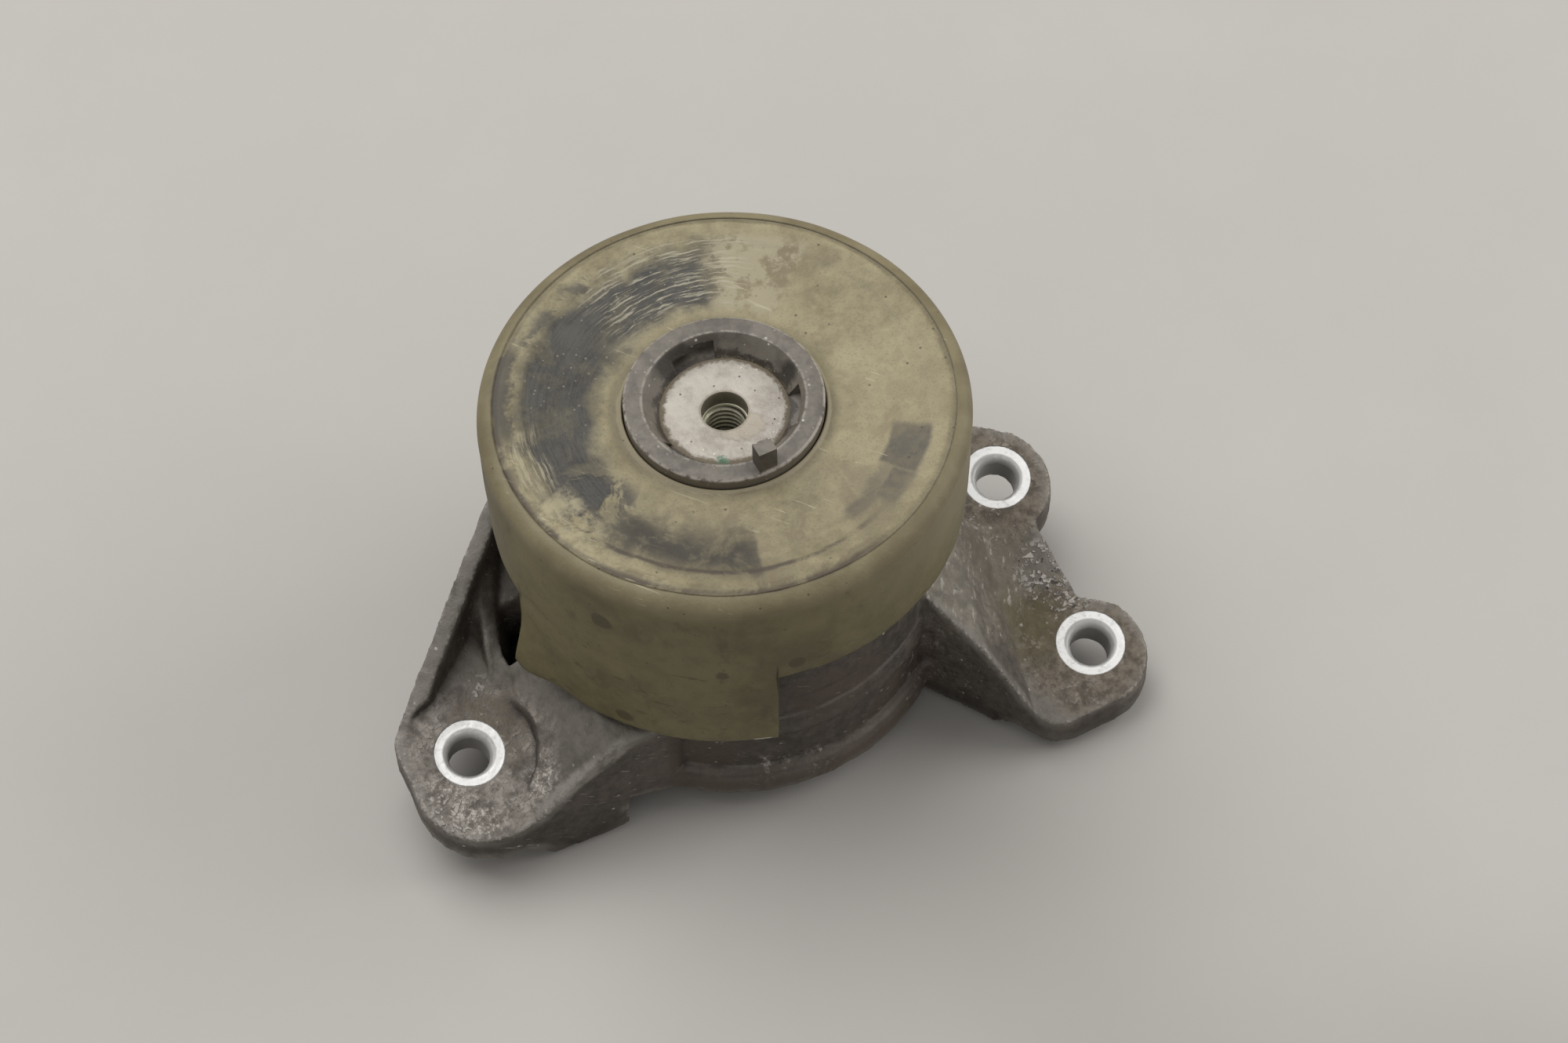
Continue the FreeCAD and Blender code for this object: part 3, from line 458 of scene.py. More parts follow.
def castFinish():
    finish = Finish("castBracket", casting["tones"], roughness=0.5, metallic=0.15)
    x, y, z = finish.parts()
    blotch = finish.grain(24)
    patchy = finish.grain(9, 5, 0.65, twist=0.4)
    skin = finish.grain(2.6, 6, 0.7)
    fine = finish.grain(0.8, 4, 0.7)
    lumps = finish.cells(1.8, vector=finish.warped(2.4, 5.0))
    up = upward(finish)
    barrel = finish.fromAxis(x, y).step(casting["barrel"], casting["barrel"] - 1.5)

    def mark(name):                 # a ragged blot at one of the named places
        place, reach, soft, ragged = casting["marks"][name]
        return near(finish, place, reach, soft, (patchy - 0.5) * ragged if ragged else None)

    # painted shade: walls take darker tones than the faces that look up
    wall = finish.blend("shadedWallDark", "shadedWallLight", (blotch * 0.5 + skin * 0.5).step(0.36, 0.62))
    top = finish.blend("topDark", "topLight", (blotch * 0.6 + skin * 0.4).step(0.38, 0.62))
    finish.base = finish.blend(wall, top, up)

    leftEar = mark("leftEar")       # the broad tones of the ears and slopes
    rightEars = mark("frontEar").orElse(mark("rearEar"))
    slope = mark("slope")
    neck = mark("neck")
    ash = finish.blend("ashDark", "ashLight", (skin * 0.6 + patchy * 0.4).step(0.38, 0.62))
    finish.paint(ash, leftEar * up * 0.9)
    finish.paint("earDirt", mark("earDirt") * up * skin.step(0.35, 0.6) * 0.75)
    finish.paint(finish.blend("umberDark", "umberLight", skin.step(0.36, 0.64)), rightEars * up * 0.85)
    # chalky tone on the right slope, made lighter as painted light
    litChalk = finish.blend("litChalkDark", "litChalkLight", (patchy * 0.5 + skin * 0.5).step(0.38, 0.6))
    finish.paint(litChalk, slope * (0.35 + up * 0.5))
    finish.paint("shoulder", mark("shoulder") * 0.5)
    finish.paint("olive", mark("olive") * up * 0.75)
    streak = finish.grain(1.3, 3, 0.62, vector=finish.drawnOut(3.6, 64.5)).step(0.58, 0.63)
    finish.paint("streak", streak * slope * patchy.step(0.42, 0.56) * (0.3 + up * 0.6))
    finish.paint("patina", barrel * (1 - up) * blotch.step(0.42, 0.58) * 0.6)
    scratch = finish.grain(0.8, 3, vector=finish.drawnOut(9.0, -6.0, 30.0)).step(0.62, 0.68)
    scratch = scratch * (1 - barrel * 0.6) * patchy.step(0.45, 0.58) * (1 - up)
    finish.paint("scratch", scratch * 0.75)

    flakes = lumps.step(0.56, 0.34) * patchy.step(0.46, 0.56).orElse(neck * skin.step(0.40, 0.5))
    grains = (lumps * 0.5 + skin * 0.5).step(0.42, 0.34) * patchy.step(0.48, 0.60)
    earCrust = mark("crustFront").orElse(mark("crustRear") * 0.8).orElse(mark("crustOuter"))
    crustZone = (leftEar * 0.4).orElse(rightEars * 0.3).orElse(neck).orElse(mark("behind")).orElse(earCrust)
    crustZone = crustZone.orElse(finish.grain(30, 2).step(0.55, 0.7) * 0.35)
    crust = (flakes * 0.9).orElse(grains) * crustZone       # white corrosion
    finish.paint("crust", crust * up * 0.85)
    rimChalk = mark("chalkOuter").orElse(mark("chalkFront")).orElse(mark("chalkInner"))
    finish.paint("rimChalk", rimChalk * up * fine.step(0.48, 0.60) * skin.step(0.42, 0.56) * 0.85)
    pits = finish.cells(2.3, vector=finish.warped(2.6, 5.0)).step(0.30, 0.18)
    pits = pits * patchy.step(0.40, 0.50) * neck
    finish.paint("pit", pits * 0.8)
    # painted highlight along the left arm's front ridge
    crestHighlight = beside(finish, *casting["crestHighlight"], 1.3, 1.6)
    finish.paint("crestHighlight", crestHighlight * (0.35 + 0.5 * skin.step(0.38, 0.56)))

    foldHeight = z + (finish.grain(14, 3) - 0.5) * 1.2      # lines round the barrel
    for height, grey, width, amount in casting["folds"]:
        line = foldHeight.within(height, width, width * 0.2)
        finish.paint((grey, grey * 0.95, grey * 0.9), line * barrel * amount * patchy.step(0.36, 0.56))
    for place, reach in casting["spalls"]:
        spall = near(finish, place, reach, 2.0, (patchy - 0.5) * 8)
        finish.paint("spall", spall * (skin * 0.6 + fine * 0.4).step(0.53, 0.60) * 0.75)
    finish.paint("band", foldHeight.step(casting["band"], casting["band"] - 1.0) * barrel * 0.4)

    edge = finish.carried("edge")   # wear that follows the shape, with grime and painted shade in its hollows
    finish.paint("ridge", finish.carried("ridge").step(0.012, 0.04) * patchy.step(0.3, 0.55) * 0.5)
    worn = (edge + (skin - 0.5) * 0.08).step(0.05, 0.11)
    finish.paint("worn", worn * fine.step(0.42, 0.58) * 0.8)
    # grime and painted shade darken the hollows
    finish.paint("hollowGrimeAndShade", edge.step(-0.03, -0.10) * 0.6)
    chips = finish.cells(4.8, vector=finish.stretched((1.0, 1.0, 1.4))).step(0.11, 0.06)
    finish.paint("chip", chips * skin.step(0.45, 0.55) * (0.45 + 0.4 * patchy.step(0.45, 0.55)))
    # painted shade: the shelf under the window near black
    finish.paint("shadeShelf", near(finish, casting["shadeShelf"], 9.0, 2.0) * 0.9)
    # painted shade: low walls darker near the floor
    finish.paint("underShade", z.step(9.0, 3.0) * (1 - up) * 0.45)

    seats = 0.0
    inside = 0.0
    for name in boreNames:
        flat, height = boreMask(finish, name)
        ragged = flat + (fine - 0.5) * 0.35
        seats = seats + ragged.step(8.25, 7.95) * height.within(0.0, 1.6, 1.1)
        inside = inside + flat.step(6.4, 5.9) * height.step(1.5, 0.5)
    finish.paint(finish.blend("seatDark", "seatLight", (fine * 0.5 + skin * 0.5).step(0.34, 0.52)), seats)
    finish.paint("bore", inside * 0.85)
    machined = seats.orElse(inside)
    relief = skin * 0.5 + fine * 0.35 + crust * 0.7 - pits * 1.1 + patchy * 0.4
    return finish.done(0.50 + skin * 0.2 + crust * 0.15 - machined * 0.22,
                       relief * (1 - machined * 0.9), 0.6, 0.95)


cap = {
    "spacing": 0.7,                 # mm between the points of its outline
    "columns": 560,
    "skirtRows": 44,
    "innerRows": 20,
    "band": 45.0,                   # radius where the raised rim band starts
    "groove": 50.9,
    "rimRound": 3.9,
    "wall": 2.0,
    "deepFrom": -174.5,             # degrees, where the skirt hangs lower
    "deepTo": -104.9,
    "shortBottom": 62.0,
    "tearDepth": 0.45,
    "flare": 4.0,                   # mm that its left corner stands out
    "bulge": 0.9,
    "wave": 0.28,
    "skirtRadius": 54.7,            # for the marks on the skirt
    "cut": -50,                     # degrees, square to the scuff's straight end
    "lowCut": -15,                  # the same for the low stain
    "tail": ((21.5, -36.5, 93.0), (10.3, -38.9, 93.0)),
    "tag": (-18.0, -51.6, 38.4),    # bright torn corner of the hem
    "smudges": ((-150, 55, 5), (-131, 51, 4), (-112, 58, 4), (-96, 70, 5), (-66, 77, 4)),
    "spots": ((-146.3, 78.7, 2.6), (-142.6, 42.3, 2.0), (-100.5, 67.5, 2.0), (-118.0, 66.0, 1.8)),
    "patches": {                    # direction, half width, inner and outer radius, softness of both
        "sunny": (-34, 26, 26.0, 50.0, 5.0, 22.0), "tired": (-116, 62, 26.0, 48.0, 5.0, 22.0),
        "smearRear": (120, 54, 28.5, 44.5, 3.0, 11.0), "smearLeft": (148, 38, 29.5, 46.5, 3.0, 10.0),
        "smearRight": (94, 27, 28.0, 44.5, 3.0, 7.0), "trail": (176, 27, 30.0, 46.0, 3.5, 8.0),
        "outward": (132, 40, 44.0, 49.5, 2.0, 9.0), "dust": (116, 44, 27.0, 46.0, 4.0, 12.0),
        "scuff": (52, 14, 27.0, 47.0, 2.0, 6.0), "scrape": (82, 26, 29.0, 46.0, 2.0, 8.0),
        "leftScrape": (172, 8, 43.0, 49.5, 1.5, 4.0), "paler": (-163, 12, 40.0, 49.5, 2.0, 6.0),
        "low": (-130, 27, 35.0, 45.0, 5.0, 10.0), "square": (-43.5, 8.5, 37.5, 46.5, 0.7, 1.4),
        "lower": (-58, 6.5, 41.0, 46.8, 0.8, 1.8), "faint": (-57, 8, 38.5, 43.0, 1.4, 3.0),
        "innerLine": (-118, 44, 40, 50, 1.0, 10.0), "grooveLeft": (-170, 50, 40.0, 60.0, 1.0, 16.0),
        "grooveFront": (-96, 20, 40.0, 60.0, 1.0, 9.0), "grime": (148, 14, 48.5, 51.8, 0.8, 5.0),
        "lit": (-46, 28, 50.0, 70.0, 1.0, 18.0),
    },
    "tones": {
        "faceDark": (126, 116, 87), "faceLight": (160, 150, 118), "sunny": (168, 156, 124),
        "skirtShadeDark": (88, 80, 51), "skirtShadeLight": (112, 104, 71), "tired": (118, 107, 84),
        "brown": (120, 106, 80), "sand": (92, 82, 60), "smudge": (72, 62, 38), "slateDark": (26, 25, 27),
        "slateLight": (64, 62, 59), "dust": (140, 133, 116), "scuffGround": (126, 114, 88),
        "scuff": (160, 150, 124), "scrape": (178, 171, 148), "leftScrape": (166, 157, 130),
        "paler": (172, 162, 130), "low": (52, 48, 41), "stainWarm": (92, 84, 70), "stainCool": (70, 67, 63),
        "innerLine": (70, 61, 54), "groove": (66, 55, 46), "fringe": (96, 84, 62), "grime": (70, 66, 58),
        "shoulderShadeDark": (106, 95, 68), "shoulderShadeLight": (124, 114, 85), "below": (112, 102, 70),
        "lit": (134, 124, 96), "collarDirt": (92, 83, 64), "beadHighlight": (152, 142, 116),
        "skirtDirt": (66, 58, 36), "gouge": (70, 58, 36), "spot": (66, 57, 32), "speck": (64, 56, 44),
        "hair": (186, 178, 150), "hem": (196, 180, 132), "tag": (226, 220, 206),
    },
}


def outline(points, spacing):       # a run of points no further apart than the spacing
    run = []
    for (r0, z0), (r1, z1) in zip(points, points[1:]):
        steps = max(1, round(math.hypot(r1 - r0, z1 - z0) / spacing))
        run += [(r0 + (r1 - r0) * i / steps, z0 + (z1 - z0) * i / steps) for i in range(steps)]
    return run + [points[-1]]


def skirtBottom(turn):              # height of the skirt's lower edge at a direction in degrees
    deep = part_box("heat_shield_cap")[0][2] / mm
    ragged = noise.noise(around(9, turn, 0))
    fuzz = noise.noise(Vector((turn * 0.9, 3.0, 0))) * 0.35
    hang = min(smooth((turn - cap["deepFrom"]) / 1.1), smooth((cap["deepTo"] - turn) / 0.7))
    corner = 1.6 * math.exp(-((turn - cap["deepFrom"] - 1.1) / 2.2) ** 2) * hang
    drop = (cap["shortBottom"] - deep - 0.9) * hang
    return cap["shortBottom"] - drop + corner + (ragged * 0.8 + fuzz) * cap["tearDepth"] + 0.4


def columnTurns():                  # directions of the columns, closer together at the deep skirt's two ends
    turns = list(np.arange(-180, 180, 360 / cap["columns"]))
    for end in (cap["deepFrom"] + 0.5, cap["deepTo"] - 0.4):
        turns = [t for t in turns if abs(t - end) > 1.2]
        turns += list(np.linspace(end - 1.15, end + 1.15, 18))
    return sorted(turns)


def skirtRadius(outer, height, shoulder, turn):
    lean = 0.5 * smooth((shoulder - height) / 26)
    crease = 0.35 * math.exp(-((height - cap["shortBottom"] - 1.5) / 2.0) ** 2)
    fromLeft = smooth(1 - abs(turn - cap["deepFrom"]) / 14)
    flare = cap["flare"] * smooth((60 - height) / 24) ** 1.5 * fromLeft
    fromRear = min(abs(turn + 172), abs(turn - 188))
    bulge = cap["bulge"] * math.exp(-(fromRear / 24) ** 2) * smooth((shoulder - height) / 12)
    return outer - lean - crease + flare + bulge


def skirtRow(outer, shoulder, turn):            # down the outside, round the hem and up the inside
    bottom = skirtBottom(turn)
    hem = bottom + 0.5
    run = []
    for i in range(1, cap["skirtRows"] + 1):
        height = shoulder + (hem - shoulder) * i / cap["skirtRows"]
        run.append((skirtRadius(outer, height, shoulder, turn), height))
    edge = run[-1][0]
    run += [(edge - 0.3, bottom + 0.12), (edge - 1.0, bottom), (edge - 1.7, bottom + 0.12), (edge - 2.0, hem)]
    for i in range(1, cap["innerRows"]):
        height = hem + (shoulder - bottom - 0.5) * i / cap["innerRows"]
        run.append((skirtRadius(outer, height, shoulder, turn) - cap["wall"], height))
    return run


def capMesh():
    low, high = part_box("heat_shield_cap")
    outer = high[0] / mm
    rim = high[2] / mm - 0.5
    face = rim - 2.2
    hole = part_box("locating_ring")[1][0] / mm + 0.25
    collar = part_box("stop_plate")[1][2] / mm
    groove = cap["groove"]
    band = cap["band"]
    rimRound = cap["rimRound"]
    shoulder = rim - rimRound
    arc = [(outer - rimRound + rimRound * math.sin(a), shoulder + rimRound * math.cos(a))
           for a in np.linspace(0.05, math.pi / 2, 12)]
    crown = outline([
        (hole, collar), (hole, face + 0.35), (hole + 0.2, face + 0.7), (hole + 0.6, face + 0.7),
        (hole + 0.9, face + 0.1), (hole + 2.2, face), (band - 0.9, rim - 0.75), (band + 0.2, rim - 0.4),
        (groove - 1.4, rim + 0.1), (groove - 0.8, rim + 0.08), (groove - 0.25, rim - 0.2),
        (groove + 0.2, rim - 0.22), (groove + 0.6, rim - 0.02),
    ], cap["spacing"]) + arc
    inside = outline([(outer - cap["wall"] - 0.2, shoulder), (outer - 4.4, rim - 2.2),
                      (hole + 2.2, face - 2.0), (hole + 2.2, collar)], 2.5)
    points = []
    turns = columnTurns()
    for turn in turns:
        for radius, height in crown + skirtRow(outer, shoulder, turn) + inside:
            spot = around(radius, turn, height)
            swell = noise.fractal(spot * 0.045, 1.0, 2.0, 2) * cap["wave"]
            if height < shoulder:
                spot += around(1, turn, 0) * (swell - 0.15)
            else:
                spot.z += (swell - 0.12) * smooth((radius - hole - 3) / 8)
            points.append(spot * mm)
    return lathed("heatShieldCap", points, len(turns))


def lathed(name, points, columns):  # closes the columns of points into one skin
    rows = len(points) // columns
    faces = []
    for column in range(columns):
        here = column * rows
        there = (column + 1) % columns * rows
        for row in range(rows):
            after = (row + 1) % rows
            faces.append((here + row, here + after, there + after, there + row))
    mesh = bpy.data.meshes.new(name)
    mesh.from_pydata(points, [], faces)
    smoothed(mesh)
    return mesh


def facing(finish, side, turn):     # the cosine between a direction and one in degrees
    return finish.start.vector("DOT_PRODUCT", side, around(1.0, turn, 0.0), output=1)


def patch(finish, warped, name):    # one of the named stains on the cap's face
    turn, half, inner, outer, soft, softTurn = cap["patches"][name]
    side, radius = warped
    wide = facing(finish, side, turn).step(math.cos(math.radians(min(179, half + softTurn))),
                                           math.cos(math.radians(max(0, half - softTurn))))
    return wide * radius.step(inner - soft, inner + soft) * radius.step(outer + soft, outer - soft)


def polar(finish, x, y, wobble):    # direction and radius in the cap's plane, pushed about by a wobble
    east = x + (finish.grain(14, 4, 0.65) - 0.5) * wobble
    north = y + (finish.grain(11, 4, 0.65, twist=0.3) - 0.5) * wobble
    flat = finish.start.node("ShaderNodeCombineXYZ", {}, {0: east, 1: north, 2: 0.0})
    return finish.start.vector("NORMALIZE", flat), finish.start.vector("LENGTH", flat, output=1)


def capFinish():
    finish = Finish("capMoulding", cap["tones"], roughness=0.55)
    x, y, z = finish.parts()
    loose = polar(finish, x, y, 12.0)
    tight = polar(finish, x, y, 2.4)
    side, radius = tight
    cloud = finish.grain(26)
    mottle = finish.grain(5, 5, 0.7)
    fine = finish.grain(0.8, 3)
    blot = finish.grain(10, 5, 0.68, twist=0.5)
    face = z.step(88.5, 92.0)
    top = finish.blend("faceDark", "faceLight", (cloud * 0.5 + mottle * 0.5).step(0.36, 0.62))
    # painted light: a lighter patch on the right of the face
    top = finish.blend(top, "sunny", patch(finish, loose, "sunny") * 0.35)
    # the skirt's olive tones, darker than the face as painted shade on the side wall and as dirt
    skirt = finish.blend("skirtShadeDark", "skirtShadeLight", (cloud * 0.6 + mottle * 0.4).step(0.36, 0.64))
    finish.base = finish.blend(skirt, top, face)
    finish.paint("tired", patch(finish, loose, "tired") * (0.3 + 0.5 * blot.step(0.42, 0.6)))
    finish.paint("brown", finish.grain(15, 4, 0.65, twist=0.5).step(0.54, 0.70) * face * 0.4)
    finish.paint("sand", finish.grain(0.55, 2).step(0.50, 0.72) * 0.3)
    for turn, height, reach in cap["smudges"]:
        wobble = (mottle - 0.5) * 12.0 + (blot - 0.5) * 8.0
        smudge = near(finish, around(cap["skirtRadius"], turn, height), reach, 1.5, wobble)
        finish.paint("smudge", smudge * mottle.step(0.42, 0.56) * 0.5)

    bent = finish.start.maths("ARCTAN2", y * -1.0, x * -1.0)        # the dark smear, dragged round the face
    drag = finish.start.node("ShaderNodeCombineXYZ", {}, {0: radius / 0.6, 1: bent / 0.24, 2: 0.0})
    streak = finish.grain(toMm, vector=drag)
    smear = patch(finish, loose, "smearRear").orElse(patch(finish, loose, "smearLeft"))
    smear = smear.orElse(patch(finish, loose, "smearRight")) * (0.82 + 0.18 * blot.step(0.36, 0.52))
    smear = smear.orElse(patch(finish, loose, "trail") * blot.step(0.38, 0.48))
    smear = smear.orElse(patch(finish, loose, "outward") * blot.step(0.42, 0.56) * 0.8)
    slate = (streak * 0.3 + mottle * 0.3 + blot * 0.4).step(0.38, 0.60)
    finish.paint(finish.blend("slateDark", "slateLight", slate), smear * 0.93)
    finish.paint("dust", patch(finish, loose, "dust") * finish.cells(1.9).step(0.17, 0.1) * 0.6)

    cut = facing(finish, side, cap["cut"]).step(0.02, -0.005)
    scuff = patch(finish, loose, "scuff") * cut
    finish.paint("scuffGround", scuff * 0.5)
    finish.paint("scuff", scuff * mottle.step(0.40, 0.52) * 0.88)
    scrapes = patch(finish, loose, "scrape") * streak.step(0.51, 0.63)
    finish.paint("scrape", scrapes * 0.68)
    finish.paint("leftScrape", patch(finish, loose, "leftScrape") * streak.step(0.46, 0.60) * 0.75)
    finish.paint("paler", patch(finish, loose, "paler") * mottle.step(0.35, 0.6) * 0.75)

    low = patch(finish, loose, "low") * facing(finish, side, cap["lowCut"]).step(0.0, -0.03)
    finish.paint("low", low * (0.55 + 0.45 * blot.step(0.36, 0.54)) * 0.92)
    stain = patch(finish, tight, "square")      # the square stain and what runs down from it
    stain = stain.orElse(patch(finish, tight, "lower") * (0.88 + 0.12 * mottle.step(0.4, 0.6)))
    stain = stain.orElse(patch(finish, loose, "faint") * 0.55)
    stain = stain.orElse(beside(finish, *cap["tail"], 0.9, 1.6) * 0.7)
    stainTone = finish.blend("stainWarm", "stainCool", mottle.step(0.4, 0.6))
    finish.paint(stainTone, stain * (0.65 + 0.35 * cloud.step(0.4, 0.55)) * 0.85)

    innerLine = radius.within(cap["band"], 1.0, 0.2) * patch(finish, tight, "innerLine")
    finish.paint("innerLine", innerLine * blot.step(0.34, 0.52) * 0.8)
    # the groove darker all round, more at the left and front: grime and painted shade in the crease
    darkGroove = patch(finish, loose, "grooveLeft").orElse(patch(finish, loose, "grooveFront"))
    fade = (0.22 + cloud.step(0.38, 0.6) * 0.25).orElse(darkGroove * blot.step(0.34, 0.52) * 0.9)
    finish.paint("groove", radius.within(cap["groove"], 1.3, 0.2) * face * fade)
    finish.paint("fringe", radius.within(49.6, 1.8, 0.4) * darkGroove * blot.step(0.44, 0.58) * 0.6)
    finish.paint("grime", patch(finish, loose, "grime") * 0.8)
    # painted shade: the rim's rounded shoulder darker than the face
    shoulder = finish.blend("shoulderShadeDark", "shoulderShadeLight", cloud.step(0.38, 0.6))
    finish.paint(shoulder, z.step(86.5, 90.0) * radius.step(cap["groove"], 51.8) * 0.8)
    finish.paint("below", z.step(90.0, 86.0) * z.step(74.0, 84.0) * cloud.step(0.40, 0.56) * 0.2)
    finish.paint("lit", patch(finish, loose, "lit") * z.step(64.0, 84.0) * (1 - face) * 0.55)
    finish.paint("collarDirt", radius.step(26.5, 23.8) * face * mottle.step(0.3, 0.6) * 0.6)
    # painted highlight: a light line on the bead round the ring's foot
    finish.paint("beadHighlight", radius.step(22.6, 22.9) * radius.step(24.0, 23.4) * face * 0.8)

    dirt = finish.grain(9, 5, 0.7, vector=finish.stretched((1.0, 1.0, 0.6)))        # marks on the skirt
    finish.paint("skirtDirt", dirt.step(0.55, 0.72) * (1 - face) * 0.5)
    gouge = finish.grain(7.0, vector=finish.stretched((1.0, 1.0, 4.5)))
    finish.paint("gouge", gouge.step(0.62, 0.68) * z.step(72.0, 64.0) * 0.55)
    spots = 0.0
    for turn, height, size in cap["spots"]:
        spot = near(finish, around(cap["skirtRadius"], turn, height), size, 0.4, (mottle - 0.5) * 2.5)
        finish.paint("spot", spot * 0.75)
        spots = spots + spot
    finish.paint("speck", finish.cells(4.2).step(0.10, 0.05) * mottle.step(0.40, 0.5) * 0.75)
    hair = finish.grain(0.9, 2, 0.5, vector=finish.drawnOut(14.0, 128.0)).step(0.66, 0.70)
    finish.paint("hair", hair * cloud.step(0.5, 0.6) * face * (1 - smear) * 0.55)
    finish.paint("hem", z.step(39.0, 38.4) * mottle.step(0.42, 0.54) * 0.8)
    tag = near(finish, cap["tag"], 2.2, 0.4, (mottle - 0.5) * 2.0)
    finish.paint("tag", tag * z.step(39.4, 38.9) * 0.9)
    relief = mottle * 0.55 + fine * 0.3 + streak * 0.35 * smear + scuff * mottle * 0.6 - spots * 0.1
    return finish.done(0.50 + mottle * 0.16 + smear * -0.08 + scrapes * 0.1, relief, 0.35, 0.75)


def softened(node, name, finish, width):  # a copy of a CAD part with its edges broken
    blank = added(name + "Blank", nodes[node].data.copy())
    smoothed(blank.data)
    weld = blank.modifiers.new("weld", "WELD")
    weld.merge_threshold = 0.00001
    bevel = blank.modifiers.new("edges", "BEVEL")
    bevel.width = width * mm
    bevel.segments = 3
    bevel.limit_method = "ANGLE"
    bevel.angle_limit = math.radians(32)
    bevel.harden_normals = True
    meet = blank.modifiers.new("meet", "WELD")  # the bevels' corners that fall on one point
    meet.merge_threshold = 0.000001
    mesh = applied(blank)
    bpy.data.objects.remove(blank)
    return newPiece(name, mesh, finish, node)


ring = {
    "bevel": 0.35,                  # mm, its broken edges
    "face": 94.6,                   # height of its upper face
    "bowl": 18.3,                   # radius of the bowl's edge
    "slots": ((107.0, 5.0), (3.0, 2.6)),    # direction of each, and reach of the old grease in it
    "grease": (17.0, 92.6),
    "tones": {
        "dark": (94, 88, 80), "light": (123, 116, 106), "side": (104, 96, 82), "bowlDark": (78, 71, 62),
        "bowlLight": (112, 105, 94), "foot": (50, 42, 31), "caked": (128, 118, 100), "grease": (36, 30, 24),
        "nick": (204, 197, 188), "rubbed": (176, 168, 158), "inner": (158, 150, 140), "dust": (176, 168, 160),
        "tab": (66, 58, 49),
    },
}


def ringFinish():
    finish = Finish("ringMoulding", ring["tones"], roughness=0.5)
    x, y, z = finish.parts()
    radius = finish.fromAxis(x, y)
    cloud = finish.grain(9)
    fine = finish.grain(0.7, 4, 0.7)
    mottle = finish.grain(2.4, 5, 0.7)
    face = ring["face"]
    onTop = z.step(face - 0.8, face)
    bowl = radius.step(18.4, 17.6)
    finish.base = finish.blend("dark", "light", (cloud * 0.5 + mottle * 0.5).step(0.36, 0.64))
    finish.paint("side", z.step(face, face - 1.0) * radius.step(20.5, 21.5) * 0.8)
    finish.paint(finish.blend("bowlDark", "bowlLight", cloud.step(0.36, 0.6)), bowl * 0.75)
    foot = (radius + (mottle - 0.5) * 3.4 + (cloud - 0.5) * 3.0).step(16.2, 15.0) * bowl
    finish.paint("foot", foot * 0.85)
    caked = (radius + (mottle - 0.5) * 2.6).step(15.0, 14.2) * bowl * fine.step(0.42, 0.56)
    finish.paint("caked", caked * 0.8)
    out, height = ring["grease"]
    for turn, reach in ring["slots"]:
        grease = near(finish, around(out, turn, height), reach, 1.2, (mottle - 0.5) * 3.0)
        finish.paint("grease", grease * bowl * 0.8)
    finish.paint("nick", finish.cells(2.2).step(0.20, 0.10) * radius.within(18.2, 1.6, 0.4) * 0.85)
    finish.paint("rubbed", radius.within(22.2, 0.45, 0.1) * onTop * mottle.step(0.38, 0.54) * 0.8)
    finish.paint("inner", radius.within(ring["bowl"], 0.45, 0.1) * onTop * mottle.step(0.40, 0.56) * 0.6)
    finish.paint("dust", finish.cells(2.6).step(0.10, 0.04) * 0.6)
    # painted shade: the tab's sides darker than its top
    finish.paint("tab", (1 - upward(finish)) * z.step(face + 0.4, face + 1.0) * 0.85)
    return finish.done(0.42 + fine * 0.25, fine * 0.5 + mottle * 0.6 + foot * 0.8 + caked * 0.6, 0.18, 0.8)


core = {
    "bevel": 0.25,
    "dents": (((2.4, -5.2, 90.0), 4.0), ((-1.4, -6.6, 90.0), 2.2)),
    "green": (-6.2, -11.7, 90.0),   # a dab of old paint
    "tones": {
        "dark": (156, 147, 136), "light": (186, 179, 168), "ragged": (100, 88, 66), "glint": (226, 220, 206),
        "pit": (86, 78, 68), "dent": (168, 158, 141), "dentEdge": (146, 137, 119), "lip": (128, 118, 98),
        "green": (62, 112, 84), "hole": (104, 100, 84),
    },
}


def coreFinish():
    finish = Finish("coreFace", core["tones"], roughness=0.42, metallic=0.2)
    x, y, z = finish.parts()
    radius = finish.fromAxis(x, y)
    cloud = finish.grain(8)
    mottle = finish.grain(2.2, 5, 0.7)
    fine = finish.grain(0.5, 3)
    finish.base = finish.blend("dark", "light", (cloud * 0.6 + mottle * 0.4).step(0.36, 0.6))
    ragged = (radius + (mottle - 0.5) * 3.4).step(13.0, 14.0)
    finish.paint("ragged", ragged * 0.85)
    glint = finish.cells(1.9).step(0.16, 0.08) * radius.step(14.2, 13.0) * radius.step(10.4, 12.0)
    finish.paint("glint", glint * 0.7)
    pits = finish.cells(2.5).step(0.11, 0.05) * cloud.step(0.35, 0.5)
    finish.paint("pit", pits * 0.85)
    wobble = (mottle - 0.5) * 3.4 + (finish.grain(5, 2) - 0.5) * 4.0
    dents = [near(finish, place, reach, 0.7, wobble) for place, reach in core["dents"]]
    dent = dents[0].orElse(dents[1])
    finish.paint("dent", dent * 0.7)
    finish.paint("dentEdge", dent * (1 - dent) * 4.0 * cloud.step(0.4, 0.6) * 0.5)
    finish.paint("lip", (radius + (mottle - 0.5) * 0.8).step(6.0, 5.4) * 0.6)
    green = near(finish, core["green"], 1.1, 0.4, (fine - 0.5) * 3.0 + (mottle - 0.5) * 3.0)
    finish.paint("green", green * 0.75)
    finish.paint("hole", radius.step(5.45, 5.2) * z.step(89.9, 89.3) * 0.8)
    relief = mottle * 0.45 + fine * 0.3 - pits * 0.8 - dent * 0.5 + ragged * 0.5
    return finish.done(0.36 + mottle * 0.2 + ragged * 0.3, relief, 0.3, 0.85)


